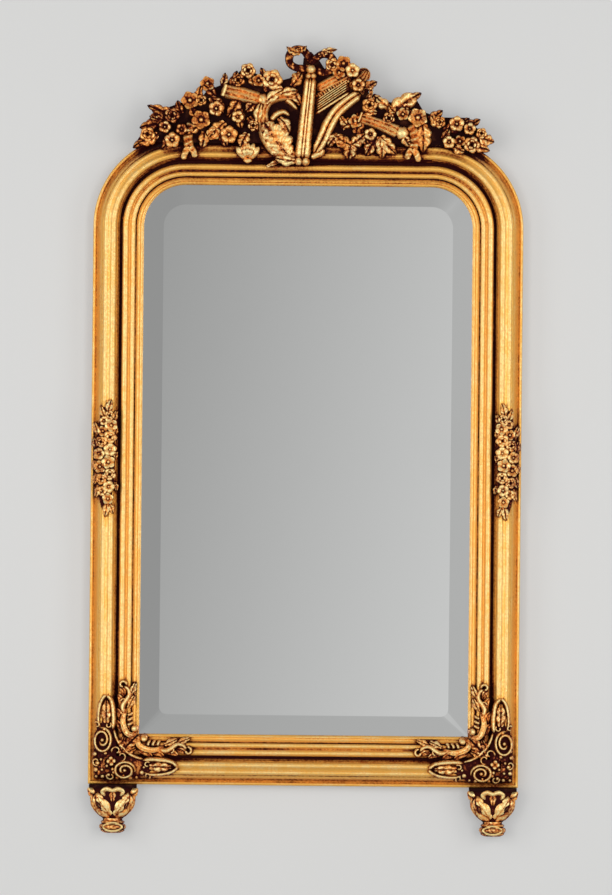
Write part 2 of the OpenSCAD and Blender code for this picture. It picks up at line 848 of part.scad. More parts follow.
module crest_dowels()
    color(pine)
        crest_dowel_set();

module crest_screws()
    color(steel)
        crest_screw_set();

// Fretted board behind the ornament, with a tongue that laps over the top moulding
module crest_ground()
    color(bole)
        translate([0, 0, half_h]) {
            rotate([90, 0, 0])
                translate([0, 0, tongue_v])
                    linear_extrude(ground_v - tongue_v)
                        polygon(ground_outline);
            translate([0, ground_t - ground_v, 0])
                intersection() {
                    rotate([90, 0, 0])
                        linear_extrude(ground_t - (ground_v - tongue_v) + 0.01)
                            polygon(ground_outline);
                    translate([-half_w, -ground_v, 0.5])
                        cube([frame_w, 2 * ground_v, frame_h]);
                }
        }

// Tilted lyre: a thick leaf-carved left arm, a straight right arm and scrolled ends
module lyre_frame()
    color(gilt)
        on_crest() {
            stroke([[-8, -42], [-36, -36], [-64, -19], [-86, 6], [-90, 40], [-72, 66], [-46, 78]],
                   [10, 17, 21, 18, 12, 9, 6], lapped_v, front_v);
            stroke([[-4, -40], [10, -30], [29, 10], [52, 44], [88, 66], [106, 66]],
                   [9, 10, 10, 10, 9, 7], lapped_v, front_v);
            stroke(spiral([108, 78], 12, 4, -90, 150, 6), taper(6, 5, 6), ground_v, front_v);
            stroke([[84, 92], [100, 104], [108, 116]], [9, 10, 6], ground_v, front_v);
            leaf([-66, -4], [-74, 36], 9, ground_v, front_v - 2, 4);
            leaf([-58, 10], [-40, 30], 8, ground_v, front_v - 2, 3);
        }

// Sound panel with its five strings, between the crossbar and the right arm
module lyre_strings() {
    start = [10, 44];
    run = [62, 38];
    across = [4, 46];
    string_r = 2.2;
    string_count = 5;
    color(gilt_dark)
        on_ground()
            difference() {
                union() {
                    rotate([90, 0, 0])
                        translate([0, 0, ground_v])
                            linear_extrude(relief_t / 2)
                                polygon([start, start + run, start + run + across, start + across]);
                    for (i = [1:string_count]) {
                        p = start + across * (i - 0.5) / string_count;
                        translate([p.x, -ground_v - relief_t / 2, p.y])
                            rotate([0, 90 - atan2(run.y, run.x), 0])
                                cylinder(r = string_r, h = norm(run));
                    }
                }
                translate([-half_w, -ground_v, -half_h])
                    cube([frame_w, ground_v, frame_h]);
            }
}

module lyre_crossbar() {
    start = [12, 93];
    tilt = 28;
    bar_l = 76;
    bar_r = 4.5;
    collar_r = 6;
    color(gilt)
        on_ground()
            translate([start.x, -ground_v - relief_t / 2, start.y])
                rotate([0, 90 - tilt, 0]) {
                    cylinder(r = bar_r, h = bar_l);
                    for (t = [0, 0.46, 0.92])
                        translate([0, 0, t * bar_l])
                            cylinder(r = collar_r, h = collar_r);
                }
}

// Two pipes side by side, tied under the bow and standing on the lyre's foot
module double_pipe() {
    top = [2, 110];
    foot = [-13, -50];
    way = top - foot;
    pipe_v = over_v - pipe_r - 1;
    color(gilt)
        on_ground()
            translate([foot.x, -pipe_v, foot.y])
                rotate([0, atan2(way.x, way.y), 0])
                    for (s = [-1, 1])
                        translate([s * pipe_r * 0.8, 0, 0]) {
                            cylinder(r1 = pipe_r, r2 = pipe_r * 0.7, h = norm(way));
                            for (z = [0, 0.9])
                                translate([0, 0, z * norm(way)])
                                    cylinder(r = pipe_r * (1.12 - z * 0.25), h = 5);
                        }
}

// Two open loops, a knot between them and two short ends
module ribbon_bow() {
    left_loop = [[-4, 128], [-18, 124], [-36, 128], [-44, 142],
                 [-38, 156], [-26, 160], [-12, 152], [-2, 134]];
    right_loop = [[6, 128], [18, 116], [34, 114], [46, 126],
                  [46, 140], [34, 150], [18, 150], [6, 134]];
    color(gilt)
        on_ground() {
            stroke(left_loop, [7, 8, 8, 8, 8, 8, 8, 7], ground_v, front_v + 2);
            stroke(right_loop, [7, 8, 8, 7, 7, 8, 8, 7], ground_v, front_v + 2);
            stroke([[2, 120], [2, 136]], [10, 9], ground_v, over_v);
            stroke([[-6, 122], [-28, 108], [-40, 112]], [6, 7, 5], ground_v, front_v);
            stroke([[-40, 150], [-46, 160]], [5, 4], ground_v, front_v);
        }
}

// Distance from the middle of the crest to each ribbon end
left_tail_x = 222;
right_tail_x = 192;

// A banded ribbon end that falls over the top moulding and forks
module ribbon_tail(side)
    color(gilt)
        on_crest()
            mirror([side == "left" ? 1 : 0, 0, 0]) {
                x = side == "left" ? left_tail_x : right_tail_x;
                stroke([[x - 4, 14], [x + 2, 4], [x + 2, -6], [x - 2, -15], [x - 2, -24]],
                       [9, 8, 9, 8, 9], lapped_v, ground_v + 7);
                stroke([[x - 2, -24], [x + 5, -34], [x + 8, -48]], [7, 6, 4], lapped_v, ground_v + 5);
                stroke([[x - 2, -24], [x - 9, -33], [x - 12, -44]], [7, 6, 4], lapped_v, ground_v + 5);
            }

// A round ornament lying on the ground board, half sunk behind its flat back
module lying(from, to, r) {
    way = to - from;
    difference() {
        translate([from.x, -ground_v - r * 0.5, from.y])
            rotate([0, 90 - atan2(way.y, way.x), 0])
                children();
        translate([-half_w, -ground_v, -half_h])
            cube([frame_w, ground_v, frame_h]);
    }
}

module horn_left() {
    from = [-160, 94];
    to = [-92, 60];
    color(gilt)
        on_ground()
            lying(from, to, horn_r) {
                cylinder(r1 = horn_r, r2 = horn_r * 0.85, h = norm(to - from));
                for (z = [0, 0.16, 0.86])
                    translate([0, 0, z * norm(to - from)])
                        cylinder(r = horn_r + 1.5, h = 5);
            }
}

module torch_right() {
    from = [102, 38];
    to = [178, 2];
    color(gilt)
        on_ground()
            lying(from, to, torch_r) {
                cylinder(r1 = torch_r * 0.8, r2 = torch_r, h = norm(to - from));
                for (z = [0, 0.3, 0.94])
                    translate([0, 0, z * norm(to - from)])
                        cylinder(r = torch_r * (0.95 + z * 0.25), h = 5);
            }
}

module flowers(spots)
    color(gilt)
        on_crest()
            for (f = spots)
                flower([f[0], f[1]], f[2], ground_v - 10, front_v - 3);

module leaves(spots)
    color(gilt)
        on_crest()
            for (l = spots)
                leaf(l[0], l[1], l[2], ground_v - 10, front_v - 6, l[3]);

module flowers_left()
    flowers(flower_spots_left);

module flowers_right()
    flowers(flower_spots_right);

module flowers_top()
    flowers(flower_spots_top);

module leaves_left()
    leaves(leaf_spots_left);

module leaves_right()
    leaves(leaf_spots_right);

// A ribbed shell, fanned upwards, on the crown to the left of the lyre's foot
shell_root = [-110, -42];

module shell_rosette() {
    rib_l = 28;
    color(gilt)
        on_crest()
            for (a = [-75:25:75])
                hull() {
                    dab(shell_root, 7, lapped_v, front_v - 4);
                    dab(shell_root + (rib_l - abs(a) * 0.08) * [sin(a), cos(a)], 6, lapped_v, front_v - 2);
                }
}

// Panel pins through the ground board into the largest ornaments
pin_spots = [[-74, 62], [60, 52], [2, 124], [-126, 76], [140, 20], [-204, 32], [205, 36]];
pin_d = 2;

module crest_pins()
    color(steel)
        for (p = pin_spots)
            translate([p.x, -ground_v + ground_t - 1, half_h + p.y])
                rotate([90, 0, 0])
                    cylinder(d = pin_d, h = ground_t + relief_t / 2);

// Flat heads of the strap's screws
strap_head_d = 6.4;
strap_head_h = 1.8;

module hanger_screws()
    color(steel)
        for (side = [0, 1], z = strap_screw_z)
            mirror([side, 0, 0])
                translate([hanger_x, -back_t + strap_t, hanger_z - z])
                    rotate([90, 0, 0]) {
                        cylinder(d = screw_d, h = board_screw_l);
                        translate([0, 0, -strap_head_h])
                            cylinder(d = strap_head_d, h = strap_head_h);
                    }

outer_stile("left");  // outer_stile_left
outer_stile("right");  // outer_stile_right
outer_top_rail();
outer_bottom_rail();
outer_shoulder("left");  // outer_shoulder_left
outer_shoulder("right");  // outer_shoulder_right
liner_stile("left");  // liner_stile_left
liner_stile("right");  // liner_stile_right
liner_top_rail();
liner_bottom_rail();
liner_shoulder("left");  // liner_shoulder_left
liner_shoulder("right");  // liner_shoulder_right
outer_dowels();
liner_dowels();
mitre_splines();
liner_screws();
mirror_plate();
setting_pads();
glazing_blocks();
backboard();
backboard_screws();
foot_pad("left");  // foot_pad_left
foot_pad("right");  // foot_pad_right
foot_cup("left");  // foot_cup_left
foot_cup("right");  // foot_cup_right
foot_bun("left");  // foot_bun_left
foot_bun("right");  // foot_bun_right
foot_dowels();
crest_block();
crest_dowels();
crest_screws();
crest_ground();
lyre_frame();
lyre_strings();
lyre_crossbar();
double_pipe();
ribbon_bow();
ribbon_tail("left");  // ribbon_tail_left
ribbon_tail("right");  // ribbon_tail_right
horn_left();
torch_right();
flowers_left();
flowers_right();
flowers_top();
leaves_left();
leaves_right();
shell_rosette();
crest_pins();
sided("left") side_spray();  // side_spray_left
sided("right") side_spray();  // side_spray_right
sided("left") corner_ornament();  // corner_ornament_left
sided("right") corner_ornament();  // corner_ornament_right
sided("left") hanger_strap();  // hanger_strap_left
sided("right") hanger_strap();  // hanger_strap_right
sided("left") hanger_ring();  // hanger_ring_left
sided("right") hanger_ring();  // hanger_ring_right
hanger_screws();
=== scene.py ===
# %% [markdown]
# # A gilt pier mirror
#
# A pier mirror hangs on the narrow wall between two windows. This one has a softwood frame of two
# mouldings, one inside the other, under gesso, red clay and gold leaf. Ornament is bedded on it: a
# trophy of music on the crest, flowers on both sides and scrollwork in the lower corners.
#
# The measured model gives every size, joint and solid piece. This lesson adds what the eye sees:
# smoother mouldings, carving, gilding, glass, a wall and light. The first cell loads the model.

import json
import math

import bmesh
import bpy
import numpy as np
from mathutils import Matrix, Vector


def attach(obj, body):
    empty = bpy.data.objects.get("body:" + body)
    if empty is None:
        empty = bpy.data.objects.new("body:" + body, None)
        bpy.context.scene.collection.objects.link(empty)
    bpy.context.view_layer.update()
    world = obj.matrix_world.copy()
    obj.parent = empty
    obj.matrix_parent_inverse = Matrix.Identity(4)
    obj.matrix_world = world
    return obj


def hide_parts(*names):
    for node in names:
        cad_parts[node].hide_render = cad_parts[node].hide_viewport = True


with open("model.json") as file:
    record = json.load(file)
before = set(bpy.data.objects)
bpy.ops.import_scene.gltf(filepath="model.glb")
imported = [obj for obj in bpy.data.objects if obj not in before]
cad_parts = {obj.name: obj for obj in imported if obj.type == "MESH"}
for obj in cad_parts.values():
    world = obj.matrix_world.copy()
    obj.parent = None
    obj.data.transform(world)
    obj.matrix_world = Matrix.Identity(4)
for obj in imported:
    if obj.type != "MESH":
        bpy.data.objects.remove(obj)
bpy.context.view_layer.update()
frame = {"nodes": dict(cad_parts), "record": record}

# %% [markdown]
# ## Sizes
#
# The same named sizes as in the measured model, in millimetres. Every point is first given as x,
# v and z: v is the height above the wall, towards the viewer. Blender's Y runs towards the wall,
# so a point is turned into metres with Y = -v only when a mesh is made. A name that ends in _V is
# such a height, and one that ends in _U is a distance in from the frame's outer edge.

# %% Sizes
MM = 0.001
HALF_W = 400
HALF_H = 605
CORNER_R = 172
ARC_X = HALF_W - CORNER_R
ARC_Z = HALF_H - CORNER_R
BACK_V = 6
LAP_V = 16
HOLLOW_V = 30
JOINT_U = 50
SIGHT_U = 94
REBATE_U = 84.5
GLASS_V = 26
BOARD_V = 62
BOARD_FOOT = -17
SIDES = ((-1, "left"), (1, "right"))
print("the glass shows", 2 * (HALF_W - SIGHT_U), "by", 2 * (HALF_H - SIGHT_U), "mm")

# %% [markdown]
# ## Curves of the mouldings
#
# A moulding plane cuts a section made of a few curves: round ribs, an S-shaped slope and a hollow
# cove. The measured model holds them as short flats. Here much the same curves get many more
# points, because light on gilding shows every flat. Each point of a section is its u and its v.

# %% Section curves
STRAIGHTNESS = 11


def arc(centre, radius, first, last, steps=20):
    """Points along an arc, with its angles in degrees."""
    angle = np.radians(np.linspace(first, last, steps + 1))
    return np.array(centre) + radius * np.column_stack([np.cos(angle), np.sin(angle)])


def ogee(start, end, steps=20):
    """An S-shaped slope; more STRAIGHTNESS would flatten its bends."""
    t = np.linspace(0, 1, steps + 1)
    climb = t - np.sin(2 * np.pi * t) / STRAIGHTNESS
    return np.column_stack([start[0] + (end[0] - start[0]) * t,
                            start[1] + (end[1] - start[1]) * climb])


def cove(start, end, steps=12):
    """A hollow quarter curve that ends level."""
    angle = np.linspace(0, np.pi / 2, steps + 1)
    return np.column_stack([end[0] - (end[0] - start[0]) * np.cos(angle),
                            start[1] + (end[1] - start[1]) * np.sin(angle)])


outer_section = np.concatenate([
    [(0, BACK_V), (0, 14)],
    arc((3, 22), 3, 180, 10),
    ogee((6.6, 22), (19.5, 46)),
    arc((25, 47.5), 5, 195, 40),
    arc((38, 48), 6, 140, -10),
    [(45.6, 45.4), (47.2, 43), (48.6, 40.4), (JOINT_U, 37.6), (JOINT_U, HOLLOW_V)],
    [(JOINT_U, LAP_V), (40, LAP_V), (40, BACK_V)]])
liner_section = np.concatenate([
    [(40, BACK_V), (40, LAP_V), (JOINT_U, LAP_V), (JOINT_U, HOLLOW_V), (55.2, HOLLOW_V)],
    arc((61, 40), 5.6, 200, 5),
    [(68, 39.2), (69.4, 39)],
    arc((74.4, 38.5), 4.6, 165, -20),
    [(79.3, 35), (80.9, 35)],
    cove((81.4, 38), (88.2, 31)),
    arc((90.6, 31), 2.2, 160, -10),
    [(SIGHT_U, 30), (SIGHT_U, GLASS_V), (REBATE_U, GLASS_V), (REBATE_U, BACK_V)]])
print("section points:", len(outer_section), "and", len(liner_section))

# %% [markdown]
# ## From points to objects
#
# A form is a pair: its points and its faces. Two kinds are enough for the whole mirror. A tube
# joins rings of points, and a shell joins a front grid of points to a back grid.

# %% Tubes and shells
def grid(*parts):
    """Points from their coordinates, which are arrays that fit each other."""
    return np.stack(np.broadcast_arrays(*parts), axis=-1)


def quads(index):
    """The four-sided faces of a grid of point numbers."""
    corners = [index[:-1, :-1], index[1:, :-1], index[1:, 1:], index[:-1, 1:]]
    return np.stack(corners, axis=-1).reshape(-1, 4)


def tube(rings):
    """A closed form from rings of points, capped at both ends."""
    count, size = rings.shape[:2]
    index = np.arange(count * size).reshape(count, size)
    sides = quads(np.column_stack([index, index[:, 0]]))
    caps = [tuple(index[0][::-1]), tuple(index[-1])]
    return rings.reshape(-1, 3), [tuple(q) for q in sides] + caps


def shell(front, back):
    """A closed form from a grid of points on its front and one on its back."""
    rows, columns = front.shape[:2]
    index = np.arange(rows * columns).reshape(rows, columns)
    border = np.concatenate([index[0, :-1], index[:-1, -1], index[-1, :0:-1], index[:0:-1, 0]])
    after = np.roll(border, -1)
    shift = rows * columns
    rim = np.column_stack([border, after, after + shift, border + shift])
    faces = np.concatenate([quads(index), quads(index)[:, ::-1] + shift, rim])
    return np.concatenate([front.reshape(-1, 3), back.reshape(-1, 3)]), [tuple(f) for f in faces]


square = np.array([(0, 0, 0), (1, 0, 0), (1, 0, 1), (0, 0, 1)])
print("a tube of two squares has", len(tube(np.stack([square, square + (0, 1, 0)]))[1]), "faces")

# %% [markdown]
# Faces are turned outwards with bmesh, and only edges sharper than 55 degrees stay crisp, as a
# carver's cuts do under gesso. A layer holds one number for each point of a mesh, such as the wax
# and painted shade that darken it.

# %% Meshes in the scene
CRISP = math.radians(55)


def soften(mesh):
    """Turns all faces outwards, and smooths all edges but the sharp ones."""
    form = bmesh.new()
    form.from_mesh(mesh)
    bmesh.ops.recalc_face_normals(form, faces=form.faces)
    for edge in form.edges:
        edge.smooth = edge.calc_face_angle(0) < CRISP
    for face in form.faces:
        face.smooth = True
    form.to_mesh(mesh)
    form.free()


def in_scene(name, data):
    """An object in the scene for a mesh, a lamp or a camera."""
    thing = bpy.data.objects.new(name, data)
    bpy.context.scene.collection.objects.link(thing)
    return thing


def write_layer(mesh, name, values):
    """A number for each point of a mesh, which its material can read."""
    layer = mesh.attributes.new(name, "FLOAT", "POINT")
    layer.data.foreach_set("value", values.astype(np.float32))


# %% [markdown]
# An object gathers forms and stands in for a piece of the measured model. Each form in it also
# says how much it is darkened: by dark wax laid on it on purpose, and by painted shade.

# %% Objects
made = []


def make_object(name, forms, nodes, body="frame"):
    """One object that stands for CAD nodes, from forms in millimetres as x, v, z, and their wax and
    painted shade.
    """
    points, faces, wax = [], [], []
    first = 0
    for form_points, form_faces, form_darkening in forms:
        points.append(form_points)
        wax.append(np.broadcast_to(form_darkening, len(form_points)))
        faces.extend(tuple(int(i) + first for i in face) for face in form_faces)
        first += len(form_points)
    x, v, z = np.concatenate(points).T
    mesh = bpy.data.meshes.new(name)
    mesh.from_pydata((np.column_stack([x, -v, z]) * MM).tolist(), [], faces)
    soften(mesh)
    write_layer(mesh, "wax", np.concatenate(wax))
    thing = in_scene(name, mesh)
    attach(thing, body)
    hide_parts(*nodes)
    made.append(thing)
    print(name, "has", len(mesh.polygons), "faces")


print("materials in the measured model:", len(bpy.data.materials))

# %% [markdown]
# ## The twelve lengths of moulding
#
# Stiles, rails and rounded shoulders are one section moved along a line or an arc. Each length
# keeps its own ends, so the mitres at the foot and the joints at the shoulders are real seams.
# A length also says where it is darkened: each line is its distance in, its half width and its
# amount. The lines are painted shade in the quirks and the hollow, with some wax. The rails get
# more than the uprights, since the side lamps leave them darker, so the groove between the upright
# ribs stays bright.

# %% Paths and wax
STEP = 7
# Lines of painted shade, with some wax, in the quirks and the hollow; rails get more than uprights.
UPRIGHT_SHADE_AND_WAX = [(8, 2.2, 0.08), (18.5, 1.8, 0.1), (32, 2.6, 0.05), (47.5, 2.4, 0.24), (70, 2, -0.04),
               (80.4, 1.6, 0.42)]
RAIL_SHADE_AND_WAX = [(11, 2.2, 0.26), (19.6, 1.8, 0.26), (31, 2, 0.22), (47.5, 2.4, 0.3), (69, 2.4, 0.2),
            (80.2, 1.6, 0.4)]
# Painted shade in the hollow, on the top rail under the crest's shadow, and on the bottom rail.
HOLLOW_SHADE = 0.16
HOLLOW_SPAN = (48.5, 56.5)
HOLLOW_TOP_V = 38.5
TOP_SHADE_AND_WAX = 0.27
BOTTOM_RAIL_SHADE = 0.07
STREAKS = 14
STREAK_WAX = 0.07
strokes = np.random.default_rng(5)


# A path gives x and z at a distance u in from the outer edge and at a share t of its length.
def along_stile(u, t):
    bottom = u - HALF_H
    return HALF_W - u, bottom + (ARC_Z - bottom) * t


def along_top(u, t):
    return ARC_X * (2 * t - 1), HALF_H - u


def along_bottom(u, t):
    return (HALF_W - u) * (2 * t - 1), u - HALF_H


def along_shoulder(u, t):
    angle = np.pi / 2 * t
    return ARC_X + (CORNER_R - u) * np.cos(angle), ARC_Z + (CORNER_R - u) * np.sin(angle)


def darkening_across(u, lines):
    """The darkening on a few lines along a moulding: painted shade in the quirks, with some wax."""
    return sum(amount * np.exp(-((u - middle) / half) ** 2) for middle, half, amount in lines)


def streaks(t, points):
    """The cloth is drawn along a moulding, so it leaves the wax in long streaks."""
    knots = np.linspace(0, 1, STREAKS)
    rows = strokes.normal(0, STREAK_WAX, (STREAKS, points))
    return np.stack([np.interp(t[:, 0], knots, rows[:, i]) for i in range(points)], axis=1)


print("a stile's outer edge runs from", along_stile(0, 0), "to", along_stile(0, 1))

# %% [markdown]
# Each point of a length takes its darkening from three things: the line it lies on, the end of the
# length that it is nearer to, and the streaks. The lines and the ends are painted shade with some
# wax, and the streaks are wax. A shoulder changes from the darkening of an upright to that of a
# rail on its way.

# %% Twelve lengths
def moulding(section, path, length, side, wax, rail_share):
    """A closed length of moulding; side -1 mirrors it to the left.

    The darkening by wax and painted shade, and rail_share for how much it is darkened like a rail,
    are each given for both ends.
    """
    t = np.linspace(0, 1, int(length / STEP) + 1)[:, None]
    u = section[:, 0][None, :]
    v = section[:, 1][None, :]
    x, z = path(u, t)
    points, faces = tube(grid(side * x, v, z))
    share = rail_share[0] + (rail_share[1] - rail_share[0]) * t
    in_hollow = (u > HOLLOW_SPAN[0]) & (u < HOLLOW_SPAN[1]) & (v < HOLLOW_TOP_V)
    along = wax[0] + (wax[1] - wax[0]) * t + HOLLOW_SHADE * in_hollow
    lines = (1 - share) * darkening_across(u, UPRIGHT_SHADE_AND_WAX) + share * darkening_across(u, RAIL_SHADE_AND_WAX)
    return points, faces, (along + lines + streaks(t, len(section))).ravel()


members = [("stile_left", along_stile, HALF_H + ARC_Z, -1, (0, 0), (0, 0)),
           ("stile_right", along_stile, HALF_H + ARC_Z, 1, (0, 0), (0, 0)),
           ("top_rail", along_top, 2 * ARC_X, 1, (TOP_SHADE_AND_WAX, TOP_SHADE_AND_WAX), (1, 1)),
           ("bottom_rail", along_bottom, 2 * HALF_W, 1, (BOTTOM_RAIL_SHADE, BOTTOM_RAIL_SHADE), (1, 1)),
           ("shoulder_left", along_shoulder, CORNER_R * np.pi / 2, -1, (0, TOP_SHADE_AND_WAX), (0, 1)),
           ("shoulder_right", along_shoulder, CORNER_R * np.pi / 2, 1, (0, TOP_SHADE_AND_WAX), (0, 1))]
for name, path, length, side, wax, rail_share in members:
    for kind, section in (("outer", outer_section), ("liner", liner_section)):
        node = kind + "_" + name
        make_object("gilt_" + node, [moulding(section, path, length, side, wax, rail_share)], [node])
print("mouldings:", len(made))

# %% [markdown]
# ## Carved forms
#
# Carvers build ornament from a few motifs: a lobed leaf, a petal, a round knob, and a strip that
# follows a line. Each is a small grid whose height is a formula. s runs along it and t across it,
# from -1 to 1. Its points are along, across and height; a negative height is the part that is
# bedded in the ground, and where that ends is decided when the form is put in its place.

# %% Leaf
BEDDED = -1


def closed_form(along, across, height):
    """A shell whose back is the same outline, bedded in the ground."""
    front = grid(along, across, height)
    back = front.copy()
    back[..., 2] = BEDDED
    return shell(front, back)


def leaf(length, width, rise, lobes=3, bow=0.0):
    """A lobed leaf, grooved along its middle, whose tip rolls forward."""
    s = np.linspace(0, 1, 8 * lobes + 5)[:, None]
    t = np.linspace(-1, 1, 11)[None, :]
    phase = lobes * (s - 0.2 * np.abs(t)) + 0.12
    cut = np.abs(np.sin(np.pi * (lobes * (s - 0.2) + 0.12))) ** 0.5
    outline = np.maximum(np.sin(np.pi * np.minimum(0.12 + 0.88 * s, 1)) ** 0.75, 0.07)
    half = width / 2 * outline * (0.64 + 0.36 * cut)
    rolled_tip = 0.25 * np.exp(-((s - 0.84) / 0.12) ** 2)
    swell = 0.5 + 0.5 * np.sin(np.pi * np.minimum(0.08 + 0.8 * s, 1)) + rolled_tip
    cross = 0.96 - 0.12 * t ** 2 - 0.4 * t ** 8 - 0.34 * np.exp(-(t / 0.16) ** 2)
    flutes = 0.2 * np.cos(2 * np.pi * phase) * np.sin(np.pi * np.minimum(np.abs(t) + 0.05, 1))
    ends = np.minimum(1, 8 * (1 - s) + 0.3)
    across = half * t + bow * np.sin(np.pi * s)
    return closed_form(length * s, across, rise * swell * ends * (cross - flutes))


print("points in a leaf:", len(leaf(60, 20, 8)[0]))

# %% [markdown]
# Each petal is a dome of its own, so a flower has five highlights with dark lines between them,
# which is what makes it read from afar. A knob is a few rings, one above the other.

# %% Petal, ground and knob
def petal(length, width, rise, cupped=False):
    """A petal: a dome that rolls down at its edge, or a cup whose far edge stands up."""
    s = np.linspace(0.1, 1, 9)[:, None]
    t = np.linspace(-1, 1, 9)[None, :]
    half = width / 2 * np.sin(np.pi * (0.1 + 0.74 * s)) ** 0.6
    along = length * (s - 0.18 * s ** 4 * t ** 2)
    swell = s ** 1.6 if cupped else np.sin(np.pi * (0.06 + 0.6 * s))
    dome = swell * (1 - 0.3 * t ** 2 - 0.3 * t ** 8 - 0.1 * np.exp(-(t / 0.25) ** 2))
    return closed_form(along, half * t, rise * (0.12 + 0.88 * dome) * (1 - 0.3 * s ** 10))


def patch(a_low, a_high, b, rise=0.6):
    """A thin ground that lies between two edges."""
    t = np.linspace(0, 1, 15)[None, :]
    across = a_low[:, None] + (a_high - a_low)[:, None] * t
    return closed_form(across, b[:, None] + 0 * t, rise + 0 * across)


def knob(radius, rise, ribs=0):
    """A round boss, plain or ribbed."""
    angle = np.linspace(0, 2 * np.pi, 20, endpoint=False)[None, :]
    out = np.array([1, 1, 0.94, 0.78, 0.55, 0.3, 0.06])[:, None]
    up = np.array([0, 0.3, 0.52, 0.75, 0.9, 0.98, 1.0])[:, None]
    wave = 1 - 0.14 * (1 - np.abs(np.cos(ribs * angle / 2))) * (ribs > 0)
    rings = grid(radius * out * wave * np.cos(angle), radius * out * wave * np.sin(angle), rise * up)
    rings[0, :, 2] = BEDDED
    return tube(rings)


print("points in a petal:", len(petal(12, 12, 8)[0]), "and in a knob:", len(knob(8, 8)[0]))

# %% [markdown]
# Stems, arms and ribbons follow a smooth line through a few chosen points. The curve is a
# Catmull-Rom spline, which runs through its points and takes its slope from their neighbours.

# %% Smooth lines
def smooth(path, spacing=2.0):
    """Points along a smooth curve through the path's points, and where on the path each lies."""
    knots = np.array(path, dtype=float)
    padded = np.vstack([2 * knots[0] - knots[1], knots, 2 * knots[-1] - knots[-2]])
    points, places = [], []
    for i in range(len(knots) - 1):
        a, b, c, d = padded[i:i + 4]
        steps = max(2, int(np.hypot(*(c - b)) / spacing))
        t = np.linspace(0, 1, steps, endpoint=False)[:, None]
        points.append(0.5 * (2 * b + (c - a) * t + (2 * a - 5 * b + 4 * c - d) * t ** 2
                             + (3 * b - a - 3 * c + d) * t ** 3))
        places.append(i + t[:, 0])
    return np.vstack(points + [knots[-1:]]), np.concatenate(places + [[len(knots) - 1.0]])


def spiral(centre, first_r, last_r, first, last, steps=16):
    """Points of a spiral, with its angles in degrees."""
    angle = np.radians(np.linspace(first, last, steps + 1))
    radius = np.linspace(first_r, last_r, steps + 1)
    return np.array(centre) + radius[:, None] * np.column_stack([np.cos(angle), np.sin(angle)])


print("a turn of 12 mm radius has", len(smooth(spiral((0, 0), 12, 12, 0, 360))[0]), "points")

# %% [markdown]
# A strip also needs a section across it: a round bar, two bars, a channel with raised edges as on
# a scroll, flutes, or the crimped folds of a ribbon. Each section is a height between 0 and 1,
# from s along the strip and t across it.

# %% Sections and strips
def round_bar(s, t):
    return np.sqrt(1 - 0.96 * t ** 2) + 0 * s


def channel(s, t):
    return (0.5 + 0.5 * np.abs(t) ** 2.5) * np.sqrt(1 - 0.9 * t ** 14) + 0 * s


def fluted(s, t):
    return (0.82 + 0.18 * np.cos(3 * np.pi * t)) * np.sqrt(1 - 0.9 * t ** 6) + 0 * s


def twin_bar(s, t):
    """Two bars side by side."""
    return (0.55 + 0.45 * np.abs(np.sin(np.pi * t)) ** 0.7) * np.sqrt(1 - 0.9 * t ** 10) + 0 * s


def crimped(folds):
    """The section of a ribbon with cross folds."""
    def section(s, t):
        return (0.72 + 0.28 * np.sin(2 * np.pi * folds * s + 1.2 * t)) * np.sqrt(1 - 0.9 * t ** 6)
    return section


def strip(path, widths, rise, section=round_bar):
    """A strip carved along a path; widths are half its width at the path's points."""
    line, place = smooth(path)
    s = place / place[-1]
    way = np.gradient(line, axis=0)
    normal = np.column_stack([-way[:, 1], way[:, 0]]) / np.linalg.norm(way, axis=1)[:, None]
    ends = np.minimum(1, 0.35 + 8 * np.minimum(s, 1 - s))
    half = np.interp(place, np.arange(len(widths)), widths) * ends
    t = np.linspace(-1, 1, 11)
    flat = line[:, None, :] + normal[:, None, :] * (half[:, None] * t[None, :])[..., None]
    height = rise * section(s[:, None], t[None, :]) * ends[:, None]
    return closed_form(flat[..., 0], flat[..., 1], height)


print("points in a strip 100 mm long:", len(strip([(0, 0), (100, 0)], [5, 5], 8)[0]))

# %% [markdown]
# ## Putting a form in its place
#
# The same leaf serves on the flat crest, over the swell of the mouldings and round a foot's cup.
# A carving therefore has a seat: a function that takes points a, b and a height, and gives x, v
# and z. Forms are only ever described flat, and the seat bends them.

# %% Seats
CROWN_U = 37.5
BED = np.array([(0, 28), (4, 37), (12, 46), (20, 51), (25, 53), (CROWN_U, 54.5), (44, 52.5),
                (56, 47.5), (63, 46.5), (74, 43.5), (79, 41.5), (88, 36), (SIGHT_U, 33)])
BEHIND_BOARD_V = 44
SUNK = 2
SUNK_IN_BED = 6


def bed_v(u):
    """Height of the bed that ornament lies on, laid over the quirks and the hollow."""
    return np.interp(u, BED[:, 0], BED[:, 1])


def crest_seat(a, b, height):
    """a is x, and b the height above the frame's top edge."""
    u = np.where(np.abs(a) < ARC_X, -b,
                 CORNER_R - np.hypot(np.abs(a) - ARC_X, b + CORNER_R))
    floor = np.where(b > BOARD_FOOT, BOARD_V - SUNK, np.where(u > 0, bed_v(u) - SUNK, BEHIND_BOARD_V))
    return np.column_stack([a, np.where(height < 0, floor, BOARD_V + height), b + HALF_H])


def moulding_seat(side, origin_b, swapped=False, inset=0):
    """a is the distance in from the outer side, and b the height above origin_b."""
    def seat(a, b, height):
        a, b = (b + inset, a + inset) if swapped else (a + inset, b + inset)
        v = bed_v(np.minimum(a, b + origin_b + HALF_H)) + np.where(height < 0, -SUNK_IN_BED, height)
        return np.column_stack([side * (HALF_W - a), v, b + origin_b])
    return seat


print("the crown's bed stands", bed_v(CROWN_U), "mm above the wall")
